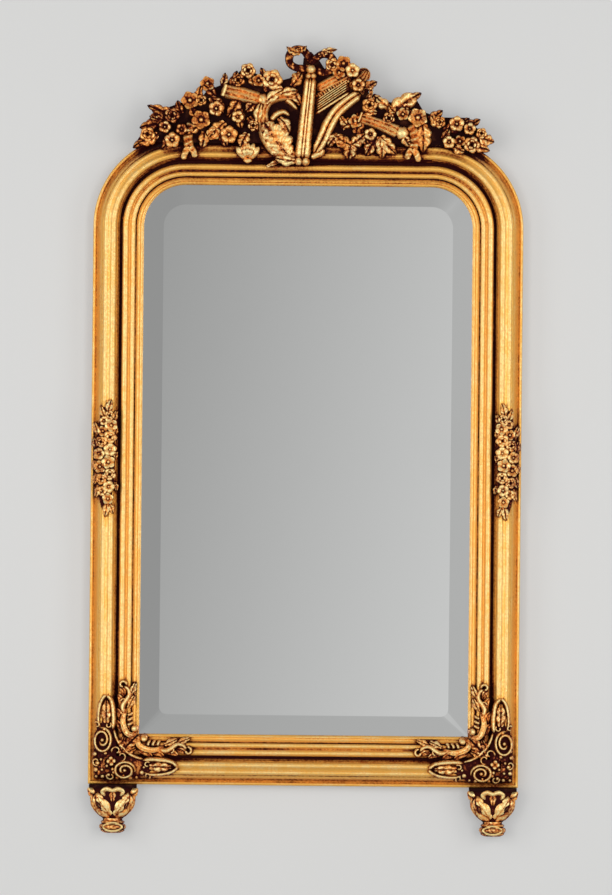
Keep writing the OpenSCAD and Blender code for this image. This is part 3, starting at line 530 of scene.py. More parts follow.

# %% [markdown]
# A carving gathers the forms of one piece, and its methods say what a carver would: a leaf from
# here to there, a flower of that size. A leaf's vein and a flower's heart are darkened, as painted
# shade in these hollows and as wax that stays where a cloth can't reach.

# %% Carving
class Carving:
    """The forms of one carved piece, each put on its seat."""

    def __init__(self, seat):
        self.seat = seat
        self.forms = []

    def put(self, form, at=(0, 0), turn=0.0, lift=0.0, wax=0.0):
        """Puts a form at a place; its bedded part isn't lifted."""
        points, faces = form
        along, across, height = points.T
        a = at[0] + math.cos(turn) * along - math.sin(turn) * across
        b = at[1] + math.sin(turn) * along + math.cos(turn) * across
        self.forms.append((self.seat(a, b, np.where(height < 0, height, height + lift)), faces, wax))

    def leaf(self, root, tip, width, rise=8.0, lobes=3, bow=0.0, lift=0.0, wax=0.0):
        """A leaf from root to tip, its vein darkened with painted shade and wax."""
        way = (tip[0] - root[0], tip[1] - root[1])
        turn = math.atan2(way[1], way[0])
        form = leaf(math.hypot(*way), width, rise, lobes, bow)
        vein = 0.3 * np.exp(-(form[0][:, 1] / (0.07 * width)) ** 2)
        self.put(form, root, turn, lift, wax + vein)

    def petals(self, at, radius, wide, rise, count, turn, lift=0.0, cupped=False, wax=0.0):
        """A ring of petals, the flower's heart darkened with painted shade and wax."""
        form = petal(radius, wide, rise, cupped)
        heart = 0.4 * np.exp(-(form[0][:, 0] / (0.34 * radius)) ** 2)
        for i in range(count):
            self.put(form, at, turn + 2 * math.pi * i / count, lift, heart + wax)

    def daisy(self, at, radius, rise, turn, lift, wax):
        """One ring of open petals round a knob."""
        self.petals(at, radius, radius * 1.08, rise, 5, turn, lift, False, wax)
        self.put(knob(radius * 0.2, rise * 0.62), at, 0, lift)

    def bell(self, at, radius, rise, turn, lift, wax):
        """Five petals that stand up round a deep heart, with a small boss in it."""
        self.petals(at, radius, radius * 1.02, rise * 1.2, 5, turn, lift, True, wax)
        self.put(knob(radius * 0.22, rise * 0.7), at, 0, lift)

    def rose(self, at, radius, rise, turn, lift, wax):
        """Two rings of petals, the inner ones higher."""
        self.petals(at, radius, radius * 1.02, rise, 5, turn, lift, False, wax)
        self.petals(at, radius * 0.6, radius * 0.66, rise * 1.3, 4, turn + 0.5, lift, False, wax)

    def flower(self, at, radius, rise, count, lift=0.0, wax=0.0):
        """Roses, bells and daisies by turns, each turned a little further."""
        kind = (self.rose, self.bell, self.daisy)[count % 3]
        kind(at, radius, rise, 0.8 * count, lift, wax)

    def strip(self, path, widths, rise=8.0, section=round_bar, lift=0.0, wax=0.0):
        self.put(strip(path, widths, rise, section), lift=lift, wax=wax)

    def knob(self, at, radius, rise, ribs=0, lift=0.0, wax=0.0):
        self.put(knob(radius, rise, ribs), at, 0, lift, wax)

    def make(self, name, node):
        make_object("carved_" + name, self.forms, [node])


sample = Carving(crest_seat)
sample.flower((0, 0), 15, 12, 0)
print("a rose is", len(sample.forms), "petals")

# %% [markdown]
# ## The lyre, the pipes and the bow
#
# The trophy hangs from a ribbon bow. The left arm of the lyre is heavy and leaf-carved. The right
# arm is two slender bars side by side, and ends in two scrolls.

# %% Lyre frame
lyre = Carving(crest_seat)
left_arm = [(-14, -44), (-36, -40), (-60, -28), (-78, -6), (-84, 16),
            (-87, 40), (-79, 60), (-59, 70), (-36, 72), (-12, 71)]
right_arm = [(9, -37), (25, -7), (37, 21), (52, 44), (76, 65), (94, 77)]
lyre.strip(left_arm, [10, 13, 14, 13, 12, 11, 11, 10, 10, 8], 14, fluted)
lyre.strip(right_arm, [9, 12, 12.5, 12, 11, 10], 17, twin_bar, wax=0.03)
lyre.strip([(3, -44), (12, -38), (22, -34), (26, -26)], [5, 6, 6, 4], 12)
lyre.strip(spiral((103, 81), 13, 4, -80, 250), [7, 6, 4], 16, channel)
lyre.strip([(75, 88), (87, 96), (99, 107), (107, 121)], [9, 10, 9, 5], 14, fluted)
lyre.strip(spiral((98, 113), 12, 3, -60, 260), [6, 5, 4], 16, channel)
lyre.leaf((-40, -42), (-88, 24), 54, 12, 5, -4, lift=6, wax=0.06)
lyre.leaf((-56, 30), (-37, 1), 22, 13, 2, 3, lift=3)
lyre.strip([(-72, 24), (-62, 36), (-48, 41), (-37, 34)], [5, 6, 5, 3], 15)
lyre.strip([(-44, 64), (-34, 57), (-23, 46)], [5, 5, 3], 15)
arm_leaves = [(-26, -50, -64, -44, 20), (-96, 22, -90, 58, 18),
              (-82, 58, -48, 82, 20), (-54, 74, -22, 80, 18)]
for x0, up0, x1, up1, width in arm_leaves:
    lyre.leaf((x0, up0), (x1, up1), width, 9, 2, 2, lift=8)
lyre.make("lyre", "lyre_frame")

# %% [markdown]
# The strings are five thin rods over a dull panel, with a rail along its lower edge. They rise to
# the right, like the crossbar above them, which is a fluted bar with a corded one below it.

# %% Strings and crossbar
STRINGS = 5
strings = Carving(crest_seat)
start = np.array([11, 42])
run = np.array([60, 41])
across = np.array([2, 24])
strings.strip([start + across * 0.5, start + run + across * 0.5], [13, 13], 5, wax=0.2)
for i in range(STRINGS):
    at = start + across * (i + 0.4) / STRINGS
    strings.strip([at, at + run], [1.9, 1.9], 10)
strings.strip([start - (0, 4), start + run - (-4, 4)], [3.4, 3.4], 13)
strings.make("strings", "lyre_strings")

crossbar = Carving(crest_seat)
crossbar.strip([(13, 84), (45, 101), (80, 119)], [9, 10, 10], 12, fluted)
crossbar.strip([(12, 70), (44, 87), (78, 105)], [5, 5, 5], 11, crimped(14))
crossbar.make("crossbar", "lyre_crossbar")

# %% [markdown]
# Two tapering tubes lie side by side in front of the lyre, with a thin rib between them. Both
# ends of each are a round bell.

# %% Double pipe
pipes = Carving(crest_seat)
for side, wide, high in ((-1, 8, 20), (1, 8, 20), (0, 5, 19)):
    pipes.strip([(-13 + side * 7.5, -50), (-6 + side * 6.6, 28), (2 + side * 5.6, 110)],
                [wide, wide * 0.86, wide * 0.72], high)
for side in (-1, 1):
    pipes.knob((-13 + side * 6.5, -50), 8, 20)
    pipes.knob((2 + side * 4.4, 108), 6, 21)
pipes.make("pipes", "double_pipe")

# %% [markdown]
# The bow has two open loops, a ribbed knot and short ends, with a few leaves round it. Its
# ribbon strips are darkened more than the rest.

# %% Ribbon bow
bow = Carving(crest_seat)
left_loop = [(2, 126), (-9, 122), (-24, 123), (-37, 131), (-38, 146),
             (-29, 157), (-15, 157), (-6, 148), (2, 130)]
right_loop = [(2, 126), (12, 119), (26, 115), (40, 121), (44, 134),
              (37, 146), (24, 149), (13, 143), (2, 130)]
for loop in (left_loop, right_loop):
    bow.strip(loop, [6, 8, 7, 7, 8, 7, 7, 7, 6], 15, crimped(7), wax=0.34)
bow.strip([(-6, 150), (2, 140), (8, 132)], [8, 9, 8], 9, crimped(2), wax=0.35)
bow.leaf((-18, 150), (-44, 162), 15, 9, 3, 3, lift=4)
bow.leaf((-24, 156), (-6, 164), 12, 9, 3, -3, lift=4)
bow.leaf((16, 146), (50, 158), 14, 9, 3, 3, lift=4)
bow.strip([(-6, 122), (-20, 110), (-34, 108)], [6, 7, 5], 9, crimped(3))
bow.knob((2, 120), 10, 21, 6)
bow.make("bow", "ribbon_bow")

# %% [markdown]
# A ribbon tail hangs over the top rail near each end of the crest, and its end is cut in two. The
# horn and the torch are bars with a ribbed mouth at one end and a ring round the other.

# %% Ribbon tails, horn and torch
TAIL_X = {"left": 223, "right": 193}
for side, name in SIDES:
    tail = Carving(crest_seat)
    x = TAIL_X[name]
    tail.strip([(side * (x - 5), 20), (side * (x + 1), 4), (side * (x + 2), -12), (side * (x - 1), -26)],
               [9, 9, 9, 9], 18, crimped(4))
    for bend, bend_up, end, end_up in ((6, -34, 11, -48), (-8, -33, -12, -44)):
        tail.strip([(side * (x - 1), -24), (side * (x + bend), bend_up), (side * (x + end), end_up)],
                   [7, 6, 5], 9, crimped(2))
    tail.make("tail_" + name, "ribbon_tail_" + name)

horn = Carving(crest_seat)
horn.strip([(-160, 80), (-126, 73), (-90, 64)], [13, 14, 12], 18, fluted, wax=0.04)
horn.strip([(-162, 68), (-158, 80), (-154, 92)], [5, 6, 5], 19)
horn.knob((-88, 64), 12, 18, 6, wax=0.1)
horn.make("horn", "horn_left")

torch = Carving(crest_seat)
torch.strip([(90, 33), (130, 20), (168, 5)], [10, 11, 13], 16, fluted)
torch.strip([(90, 22), (94, 32), (98, 43)], [3, 4, 3], 18)
torch.knob((172, 4), 13, 17, 6)
torch.make("torch", "torch_right")

# %% [markdown]
# ## Flowers and leaves of the crest
#
# The flowers crowd round the trophy in no strict order, as on the real crest. Each triple below is
# one flower: its x, its height above the frame and its radius. The petals overlap, so the lift
# changes from flower to flower and one always lies over the other.

# %% Crest flowers
WAX_STEP = 0.045
LEFT_END_DARKENING = 0.13
LEFT_FROM = 90
LEFT_OVER = 130


def dullness(x, i):
    """How much a flower or leaf is darkened: it varies, and most of it lies at the crest's left end."""
    return WAX_STEP * ((i * 5 + 2) % 4) + LEFT_END_DARKENING * min(max((-x - LEFT_FROM) / LEFT_OVER, 0), 1)


flower_rows = {
    "left": [
        (-255, 32, 15), (-201, 25, 18), (-254, -13, 15), (-115, 117, 15), (-222, 61, 17), (-149, -2, 17),
        (-300, -3, 15), (-190, 92, 14), (-173, 46, 15), (-133, 99, 13), (-178, 0, 13), (-268, 11, 12),
        (-104, 15, 11), (-283, 29, 12), (-133, 31, 12), (-201, 61, 11), (-95, 99, 12), (-237, 7, 11)],
    "right": [
        (111, 55, 15), (201, 33, 18), (259, -12, 12), (301, -16, 16), (279, -10, 11), (273, 22, 15),
        (319, 5, 11), (85, 25, 13), (297, 13, 12), (147, 31, 12), (173, 39, 12), (113, 1, 12),
        (241, 25, 12), (59, -13, 11)],
    "top": [(41, 129, 14), (62, 132, 15), (79, 119, 14), (-70, 101, 20), (54, 115, 12), (90, 92, 13)]}
for name, rows in flower_rows.items():
    flowers = Carving(crest_seat)
    for i, (x, up, radius) in enumerate(rows):
        flowers.flower((x, up), radius, 12, i, 3 + 2 * (i % 3), dullness(x, i))
    flowers.make("flowers_" + name, "flowers_" + name)

# %% [markdown]
# Leaves fill what the flowers leave open. Each row is a leaf's root, its tip and its width. A wide
# leaf has three lobes and a narrow one two, and every other leaf bends the other way.

# %% Crest leaves
leaf_rows = {
    "left": [
        (-247, 33, -301, 51, 24), (-277, 17, -315, 9, 22), (-281, -3, -319, -19, 24),
        (-242, -3, -273, -31, 26), (-209, 29, -221, 53, 18), (-175, 69, -199, 91, 20),
        (-183, 67, -161, 35, 26), (-157, 21, -189, -13, 26), (-131, 65, -153, 29, 26),
        (-77, 79, -91, 123, 26), (-71, 83, -41, 73, 22), (-129, 45, -127, 9, 22), (-113, 31, -97, 3, 20),
        (-147, 85, -135, 117, 20), (-265, 23, -297, 31, 18), (-203, 13, -229, -1, 20),
        (-169, 9, -153, -25, 22), (-293, -7, -327, -28, 18), (-207, 57, -201, 89, 18),
        (-115, 1, -127, -27, 24), (-101, 89, -109, 113, 18), (-33, 89, -15, 115, 20),
        (-195, 3, -199, -27, 22), (-163, 87, -157, 113, 16), (-237, 37, -245, 61, 18),
        (-93, 65, -119, 39, 24), (-17, 55, -31, 87, 18)],
    "right": [
        (146, 39, 207, 79, 34), (87, 3, 91, 43, 26), (77, -19, 43, 1, 24), (77, -19, 105, 3, 24),
        (75, -13, 73, -47, 26), (127, -3, 105, -39, 26), (131, -3, 135, -43, 26), (133, -3, 161, -35, 26),
        (209, 23, 211, -31, 32), (249, 9, 297, 33, 26), (243, 17, 225, 39, 20), (313, 1, 343, -11, 26),
        (301, -19, 335, -27, 20), (285, 17, 317, 31, 20), (147, 51, 123, 71, 22), (175, 1, 187, -21, 18),
        (193, 29, 175, 53, 22), (221, 31, 247, 47, 20), (99, 41, 127, 41, 18), (267, -19, 289, -30, 18),
        (101, 83, 125, 99, 20), (95, 9, 109, -19, 20), (71, 17, 57, 35, 16), (53, 1, 35, -23, 20),
        (117, 75, 129, 55, 18), (61, 11, 75, 33, 18), (161, 41, 147, 55, 16), (247, -5, 259, 13, 16)]}
for name, rows in leaf_rows.items():
    leaves = Carving(crest_seat)
    for i, (x0, up0, x1, up1, width) in enumerate(rows):
        leaves.leaf((x0, up0), (x1, up1), width, 11, 3 if width > 22 else 2, 2 - 4 * (i % 2), i % 4,
                    dullness(x0, i))
    leaves.make("leaves_" + name, "leaves_" + name)

# %% [markdown]
# The shell left of the lyre's foot is a fan of petals, with a smaller and higher fan on it.

# %% Shell
SHELL_X = -114
rosette = Carving(crest_seat)
for i in range(5):
    rosette.put(petal(31, 15, 14), (SHELL_X, -47), math.radians(46 + 22 * i))
for i in range(3):
    rosette.put(petal(20, 11, 18), (SHELL_X, -45), math.radians(62 + 28 * i))
rosette.put(petal(11, 16, 11), (SHELL_X, -43), math.radians(270))
rosette.leaf((-78, -60), (-40, -46), 9, 5, 3, 2)
rosette.make("rosette", "shell_rosette")
print("crest pieces:", len(made) - len(members) * 2)

# %% [markdown]
# ## Side sprays
#
# A bunch of small flowers lies on each stile, halfway up, on a thin ground darkened with wax and
# with painted shade between the flowers. The seat follows the swell of the moulding, but is packed
# up at the outer edge, so the flowers there face the room.

# %% Side sprays
spray_flowers = [
    (35, 80, 10), (38, 62, 12), (24, 70, 9), (36, 40, 13), (22, 51, 10), (36, 17, 13), (19, 31, 11),
    (33, -6, 13), (15, 9, 12), (36, -29, 12), (17, -15, 12), (34, -52, 12), (20, -38, 11), (33, -74, 11),
    (21, -60, 10)]
spray_leaves = [
    (32, 86, 38, 110, 15), (25, 77, 18, 98, 13), (14, 46, 6, 68, 14), (44, 70, 48, 90, 10),
    (10, 20, 5, 40, 13), (46, 46, 49, 58, 9), (8, -4, 5, -22, 13), (46, 0, 49, 14, 9),
    (11, -28, 6, -48, 13), (46, -44, 49, -60, 9), (31, -82, 27, -108, 15), (36, -84, 43, -102, 12),
    (16, -50, 9, -72, 13)]
SPRAY_U = 28
SPRAY_HALF = 17
SPRAY_REACH = 100
leg = np.linspace(-96, 96, 40)
half = SPRAY_HALF * np.sqrt(1 - (leg / SPRAY_REACH) ** 2)
for side, name in SIDES:
    spray = Carving(moulding_seat(side, 0))
    spray.put(patch(SPRAY_U - half, SPRAY_U + half, leg), wax=0.28)
    for i, (a, b, radius) in enumerate(spray_flowers):
        spray.flower((a, b), radius, 8, i, lift=0.5 + i % 2, wax=0.05 * (a < 26))
    for a0, b0, a1, b1, width in spray_leaves:
        spray.leaf((a0, b0), (a1, b1), width, 7, 2, 1)
    spray.make("spray_" + name, "side_spray_" + name)

# %% [markdown]
# ## Corner scrollwork
#
# Each lower corner has a dark ground with gilt studs, two volutes, a four-petalled flower, two
# pointed arches with a leaf in each, and S-scrolls that climb the liner. The ground is darkened
# with dark patina and with painted shade between the scrolls. One half is carved, and the other is
# the same half reflected in the mitre, which a seat with a and b exchanged gives. Only the volute
# is rounder there, and sits nearer to the corner. First the two kinds of scroll.

# %% Curl and volute
def curl(carving, at, radius, angle, wide=2.2):
    """A small C-shaped curl that gets tighter towards its end."""
    carving.strip(spiral(at, radius, radius * 0.35, angle, angle - 290, 12), [wide, wide, wide * 0.9], 9)


def volute(carving, at, stretch):
    """A big scroll, stretched along the member: a wide outer turn, then one that closes on a boss."""
    outer_turn = spiral((0, 0), 17.5, 15, 100, -160, 20)
    inner_turn = spiral((0, 0), 15, 5, -160, -520, 24)
    line = np.vstack([outer_turn, inner_turn[1:]]) * stretch
    carving.strip(line + np.array(at), [3, 3.8, 3.4, 3], 12)
    carving.knob(at, 3.6, 12)


trial = Carving(moulding_seat(1, 0))
volute(trial, (0, 0), (1, 1))
print("forms in a volute:", len(trial.forms))

# %% [markdown]
# Everything in the half is given as its distance in from the frame's side and its height above
# the corner. The ground comes first, and the scrolls and leaves lie on it.

# %% Half a corner
CORNER_INSET = 3
arch_left = [(20, 102), (16, 118), (18, 142), (24, 157), (31, 164)]
arch_right = [(31, 164), (40, 154), (44, 136), (45, 114), (43, 100)]
liner_scroll = [(86, 97), (81, 90), (71, 92), (64, 104), (62, 120), (68, 138)]
liner_stem = [(64, 128), (61, 142), (66, 152), (73, 163), (71, 174), (63, 181)]
ground_up = [6, 90, 104, 116]
ground_low = [8, 8, 17, 24]
ground_high = [50, 50, 46, 38]
small_curls = [
    (13, 40, 8, -60), (50, 60, 9, 200), (14, 108, 6, 150), (35, 108, 6, 60), (63, 152, 6, 200)]


def corner_half(carving, volute_b, stretch):
    b = np.linspace(8, 116, 40)
    low = np.interp(b, ground_up, ground_low)
    high = np.interp(b, ground_up, ground_high)
    carving.put(patch(low, high, b), wax=0.26)
    volute(carving, (24, volute_b), stretch)
    for at_a, at_b, radius, angle in small_curls:
        curl(carving, (at_a, at_b), radius, angle)
    carving.strip(arch_left, [2, 2.8, 3.2, 3.2, 3], 8)
    carving.strip(arch_right, [3.2, 4, 4.6, 4.4, 3], 10)
    carving.leaf((31, 112), (31, 156), 20, 7, 3, wax=0.12)
    carving.strip(liner_scroll, [4.4, 5.2, 5.8, 5.8, 5.2, 3], 12, channel)
    carving.knob((84, 101), 7, 13)
    carving.strip(liner_stem, [3.5, 5, 5, 4.4, 3.8, 3], 10)
    carving.strip(spiral((61, 183), 7.5, 3, -20, 290), [3.2, 3], 10)
    for b in (108, 117, 126):
        carving.strip([(69, b), (76, b + 2), (80, b + 6)], [3, 3, 2.4], 8)
    for a0, b0, a1, b1 in ((60, 92, 49, 118), (58, 114, 50, 140), (60, 138, 52, 166), (64, 162, 55, 180)):
        carving.leaf((a0, b0), (a1, b1), 13, 6, 1, -3, wax=0.12)
    carving.leaf((72, 140), (83, 164), 14, 8, 2)
    carving.leaf((76, 164), (85, 188), 12, 7, 2)
    carving.strip([(45, 100), (50, 84), (58, 70), (68, 62)], [2, 3, 3.2, 2.4], 9)


print("small curls in half a corner:", len(small_curls))

# %% [markdown]
# The halves meet in the flower, and three bigger leaves lie over the mitre. The studs are small
# knobs, which the photograph shows as bright dots on the dark ground.

# %% Corner ornaments
studs = [
    (13, 12), (25, 12), (12, 25), (24, 25), (36, 15), (15, 37), (33, 32), (52, 10), (10, 54), (88, 11),
    (11, 90), (98, 20), (20, 96), (46, 20), (56, 58), (64, 14), (12, 66), (76, 10), (10, 78), (30, 56),
    (56, 34), (22, 44), (44, 26), (28, 100), (102, 30)]
for side, name in SIDES:
    forms = []
    for swapped, volute_b, stretch in ((False, 80, (0.96, 1.3)), (True, 66, (0.94, 1.1))):
        half = Carving(moulding_seat(side, -HALF_H, swapped, CORNER_INSET))
        corner_half(half, volute_b, stretch)
        forms += half.forms
    middle = Carving(moulding_seat(side, -HALF_H, False, CORNER_INSET))
    for i in range(4):
        middle.put(petal(9, 8, 9), (41, 41), math.pi / 2 * i + 0.1)
    for i, at in enumerate(studs):
        middle.knob(at, 2.6 + 0.8 * (i % 3), 8)
    middle.leaf((58, 58), (88, 88), 26, 10, 3, wax=0.2)
    middle.leaf((56, 66), (66, 88), 14, 10, 2, wax=0.18)
    middle.leaf((66, 56), (88, 66), 14, 10, 2, wax=0.18)
    make_object("carved_corner_" + name, forms + middle.forms, ["corner_ornament_" + name])
print("pieces so far:", len(made))

# %% [markdown]
# ## Feet
#
# A foot is a cup and a bun, both turned on a lathe. The cup is oval, so that it doesn't touch the
# wall. The leaves round it are the same leaf again, on a seat that is bent round the cup.

# %% Turned forms
FOOT_X = 353
FOOT_V = 30
CUP_R = 43
CUP_FLAT = 48 / 86
CUP_H = 57
NECK_Z = -668
BUN_H = 27
BUN_R = 25
CUP_SUNK = 3
BUN_SUNK = 2
CUP_OUTLINE = [(0, 19), (6, 25), (14, 30), (24, 34), (35, 36.5), (46, 37), (52, 39), (CUP_H, 40)]
BUN_OUTLINE = [(0, 14.2), (1.2, 18), (3.4, 21.6), (5.4, 22.6), (6.2, 21.4), (7.4, 23.4),
               (10, 24.9), (13, 24.9), (15.6, 23.4), (16.8, 20.8), (17.8, 19.8), (19, 21.8),
               (20.8, 22), (22.4, 20), (23.4, 18), (BUN_H, 18)]


def round_seat(side, outline, full_r, sunk, drop=0, flat=1.0):
    """a is the way round from the front, measured at the radius full_r.

    b is the height above the form's foot, which lies drop below the neck.
    """
    up, out = np.array(outline).T

    def seat(a, b, height):
        radius = np.interp(b, up, out) + np.where(height < 0, -sunk, height)
        turn = a / full_r
        return np.column_stack([side * (FOOT_X + radius * np.sin(turn)),
                                FOOT_V + flat * radius * np.cos(turn), b + NECK_Z - drop])
    return seat


def turned(outline, side, foot_z, flat=1.0, steps=56):
    """A closed form turned about the foot's axis; flat squeezes it towards the wall."""
    angle = np.linspace(0, 2 * np.pi, steps, endpoint=False)[None, :]
    up, out = np.array(outline).T
    return tube(grid(side * FOOT_X + out[:, None] * np.cos(angle),
                     FOOT_V + flat * out[:, None] * np.sin(angle), foot_z + up[:, None]))


print("feet reach down to", NECK_Z - BUN_H, "mm")

# %% [markdown]
# Two big leaves wrap the cup's front and curl out at the top; the cup between them is darkened as
# painted shade. A small leaf on each, darkened as painted shade, stands for the pierced eye of the
# real one. Between them a leaf hangs from a wavy rim. On the bun a raised oval ring, lightened as a
# painted highlight, encloses a field darkened as painted shade.

# %% Cup and bun
# The cup's body shows dark between its leaves, as painted shade.
CUP_SHADE = 0.6
BUN_WAX = 0.04
BUN_MIDDLE = 11.5
RING_POINTS = 33
for side, name in SIDES:
    cup = Carving(round_seat(side, CUP_OUTLINE, CUP_R, CUP_SUNK, flat=CUP_FLAT))
    cup.forms.append((*turned(CUP_OUTLINE, side, NECK_Z, CUP_FLAT), CUP_SHADE))
    for way in (-1, 1):
        cup.leaf((way * 8, 4), (way * 38, 48), 42, 8, 2, way * -7, wax=0.05)
        cup.leaf((way * 12, 13), (way * 30, 43), 17, 4, 1, way * -3, lift=6)
        cup.leaf((way * 23, 17), (way * 31, 33), 8, 2, 1, lift=9, wax=0.5)
        cup.leaf((way * 48, 5), (way * 68, 52), 28, 6, 1, way * -3)
        cup.leaf((way * 90, 5), (way * 96, 50), 36, 3, 1)
        cup.strip([(way * 46, 46), (way * 55, 54), (way * 64, 50), (way * 62, 43), (way * 56, 45)],
                  [3.4, 4.4, 4.4, 3.8, 3.4], 9)
    cup.strip([(-17, 42), (-20, 50), (-11, 55), (0, 52), (11, 55), (20, 50), (17, 42)],
              [3, 4.2, 4.6, 4, 4.6, 4.2, 3], 9)
    cup.leaf((0, 53), (0, 30), 14, 7, 2, wax=0.2)
    cup.make("cup_" + name, "foot_cup_" + name)
    bun = Carving(round_seat(side, BUN_OUTLINE, BUN_R, BUN_SUNK, drop=BUN_H))
    bun.forms.append((*turned(BUN_OUTLINE, side, NECK_Z - BUN_H), BUN_WAX))
    around = np.radians(np.linspace(0, 360, RING_POINTS))
    ring = np.column_stack([19 * np.cos(around), BUN_MIDDLE + 7.5 * np.sin(around)])
    bun.strip(ring, [2.2] * RING_POINTS, 2.8, wax=-0.25)
    bun.strip([(-15, BUN_MIDDLE), (0, BUN_MIDDLE), (15, BUN_MIDDLE)], [5, 6, 5], 1, wax=0.28)
    bun.make("bun_" + name, "foot_bun_" + name)

# %% [markdown]
# ## Where shade and toning are painted
#
# A gilder rubs dark wax over new gilding and wipes it off again. It stays where the cloth can't
# reach, which is also where shade falls. So one number is measured for every point: how much of the
# open room in front is hidden from it by the carving round it. For that the front is first drawn
# as a height map, with one cell for each millimetre. The gilding is later darkened by this number,
# as painted shade, together with the wax.

# %% Height map of the front
MAP_X = 430
MAP_LOW = -710
MAP_HIGH = 800
front_edge = np.concatenate([outer_section[1:-3], liner_section[4:-3]])


def distance_in(x, z):
    """Distance in from the frame's outer edge, round the shoulders too."""
    straight = np.minimum(HALF_W - np.abs(x), HALF_H - np.abs(z))
    round_part = CORNER_R - np.hypot(np.abs(x) - ARC_X, z - ARC_Z)
    return np.where((np.abs(x) > ARC_X) & (z > ARC_Z), round_part, straight)


def cells(x, z):
    """The map cells of points in millimetres."""
    return (np.clip(np.rint(x) + MAP_X, 0, 2 * MAP_X).astype(int),
            np.clip(np.rint(z) - MAP_LOW, 0, MAP_HIGH - MAP_LOW).astype(int))


def places(elements, kind):
    """The x, v and z of a mesh's points or face middles, in millimetres."""
    flat = np.empty(len(elements) * 3)
    elements.foreach_get(kind, flat)
    x, y, z = flat.reshape(-1, 3).T / MM
    return x, -y, z


map_x, map_z = np.meshgrid(np.arange(-MAP_X, MAP_X + 1), np.arange(MAP_LOW, MAP_HIGH + 1), indexing="ij")
heights = np.interp(distance_in(map_x, map_z), *front_edge.T, left=0, right=GLASS_V)
for thing in made:
    if thing.name.startswith("carved"):
        for x, v, z in (places(thing.data.vertices, "co"), places(thing.data.polygons, "center")):
            np.maximum.at(heights, cells(x, z), v)
print("map:", heights.shape, "highest:", heights.max())

# %% [markdown]
# Every point then looks over the map in twelve directions. In each, the steepest climb to the
# carving nearby hides a share of the room, as a hill hides the sky from a house at its foot.

# %% What each point can't see
REACHES = [1.5, 3, 5, 8, 12, 17, 24]
WAYS = 12


def hidden_share(x, v, z):
    """The share of the open room that the carving round each point hides from it."""
    seen = np.zeros(len(x))
    for way in np.arange(WAYS) * 2 * np.pi / WAYS:
        climb = np.zeros(len(x))
        for reach in REACHES:
            over = heights[cells(x + reach * np.cos(way), z + reach * np.sin(way))]
            climb = np.maximum(climb, (over - v) / reach)
        seen += 1 / (1 + climb ** 2) / WAYS
    return 1 - seen


# The hidden share darkens the gilding as painted shade in the hollows.
for thing in made:
    write_layer(thing.data, "hidden", hidden_share(*places(thing.data.vertices, "co")))
print("measured", sum(len(t.data.vertices) for t in made), "points")

# %% [markdown]
# ## A small language for materials
#
# Shader nodes are easier to read as sums. Wire wraps one output socket, and adding or multiplying
# wires adds the Math nodes. The reflected forms let a plain number stand first, as in 1 - wire.

# %% Wire
class Wire:
    """One output of a shader node, which Python's operators can work on."""

    def __init__(self, recipe, socket):
        self.recipe = recipe
        self.socket = socket

    def math(self, operation, first, second):
        return self.recipe.node("ShaderNodeMath", {"operation": operation}, {0: first, 1: second})

    def __add__(self, other):
        return self.math("ADD", self, other)

    def __sub__(self, other):
        return self.math("SUBTRACT", self, other)

    def __rsub__(self, other):
        return self.math("SUBTRACT", other, self)

    def __mul__(self, other):
        return self.math("MULTIPLY", self, other)

    __radd__ = __add__
    __rmul__ = __mul__


print("a wire's sums:", [name for name in vars(Wire) if "add" in name or "sub" in name])

# %% [markdown]
# Recipe holds a material, and its node method adds any other node: first the node's settings,
# then the values or wires of its sockets. A material may read the two layers of each mesh.

# %% Recipe
class Recipe:
    """A material, and the one way in which nodes are added to it."""

    def __init__(self, name):
        self.material = bpy.data.materials.new(name)
        self.material.use_nodes = True
        self.tree = self.material.node_tree
        self.shader = self.tree.nodes["Principled BSDF"]

    def feed(self, socket, value):
        if isinstance(value, Wire):
            self.tree.links.new(value.socket, socket)
        else:
            socket.default_value = value

    def node(self, kind, settings, inputs, out=0):
        node = self.tree.nodes.new(kind)
        for name, value in settings.items():
            setattr(node, name, value)
        for name, value in inputs.items():
            self.feed(node.inputs[name], value)
        return Wire(self, node.outputs[out])

    def mixed(self, factor, first, second):
        """A colour between two colours."""
        return self.node("ShaderNodeMix", {"data_type": "RGBA"}, {0: factor, 6: first, 7: second}, out=2)

    def eased(self, value, low, high):
        """0 below low, 1 above high, and an even curve between."""
        return self.node("ShaderNodeMapRange", {"interpolation_type": "SMOOTHSTEP"},
                         {"Value": value, "From Min": low, "From Max": high})

    def place(self):
        """Where a point lies on its object, in metres."""
        return self.node("ShaderNodeTexCoord", {}, {}, out="Object")

    def axis(self, name):
        """The place along X, Y or Z."""
        return self.node("ShaderNodeSeparateXYZ", {}, {0: self.place()}, out=name)

    def noise(self, scale, detail=4.0, stretch=(1, 1, 1)):
        """Cloudy noise; scale is in features a metre."""
        placed = self.node("ShaderNodeMapping", {}, {"Vector": self.place(), "Scale": stretch})
        return self.node("ShaderNodeTexNoise", {}, {"Vector": placed, "Scale": scale, "Detail": detail})

    def rough_skin(self, height, strength, distance):
        """A bump that feeds the shader's normal."""
        inputs = {"Height": height, "Strength": strength, "Distance": distance}
        self.feed(self.shader.inputs["Normal"], self.node("ShaderNodeBump", {}, inputs))

    def finish(self, **values):
        """Feeds the shader; an underscore in a name stands for a space."""
        for name, value in values.items():
            self.feed(self.shader.inputs[name.replace("_", " ")], value)
        return self.material


layers = made[0].data.attributes
print("layers to read:", [layer.name for layer in layers if layer.data_type == "FLOAT"])

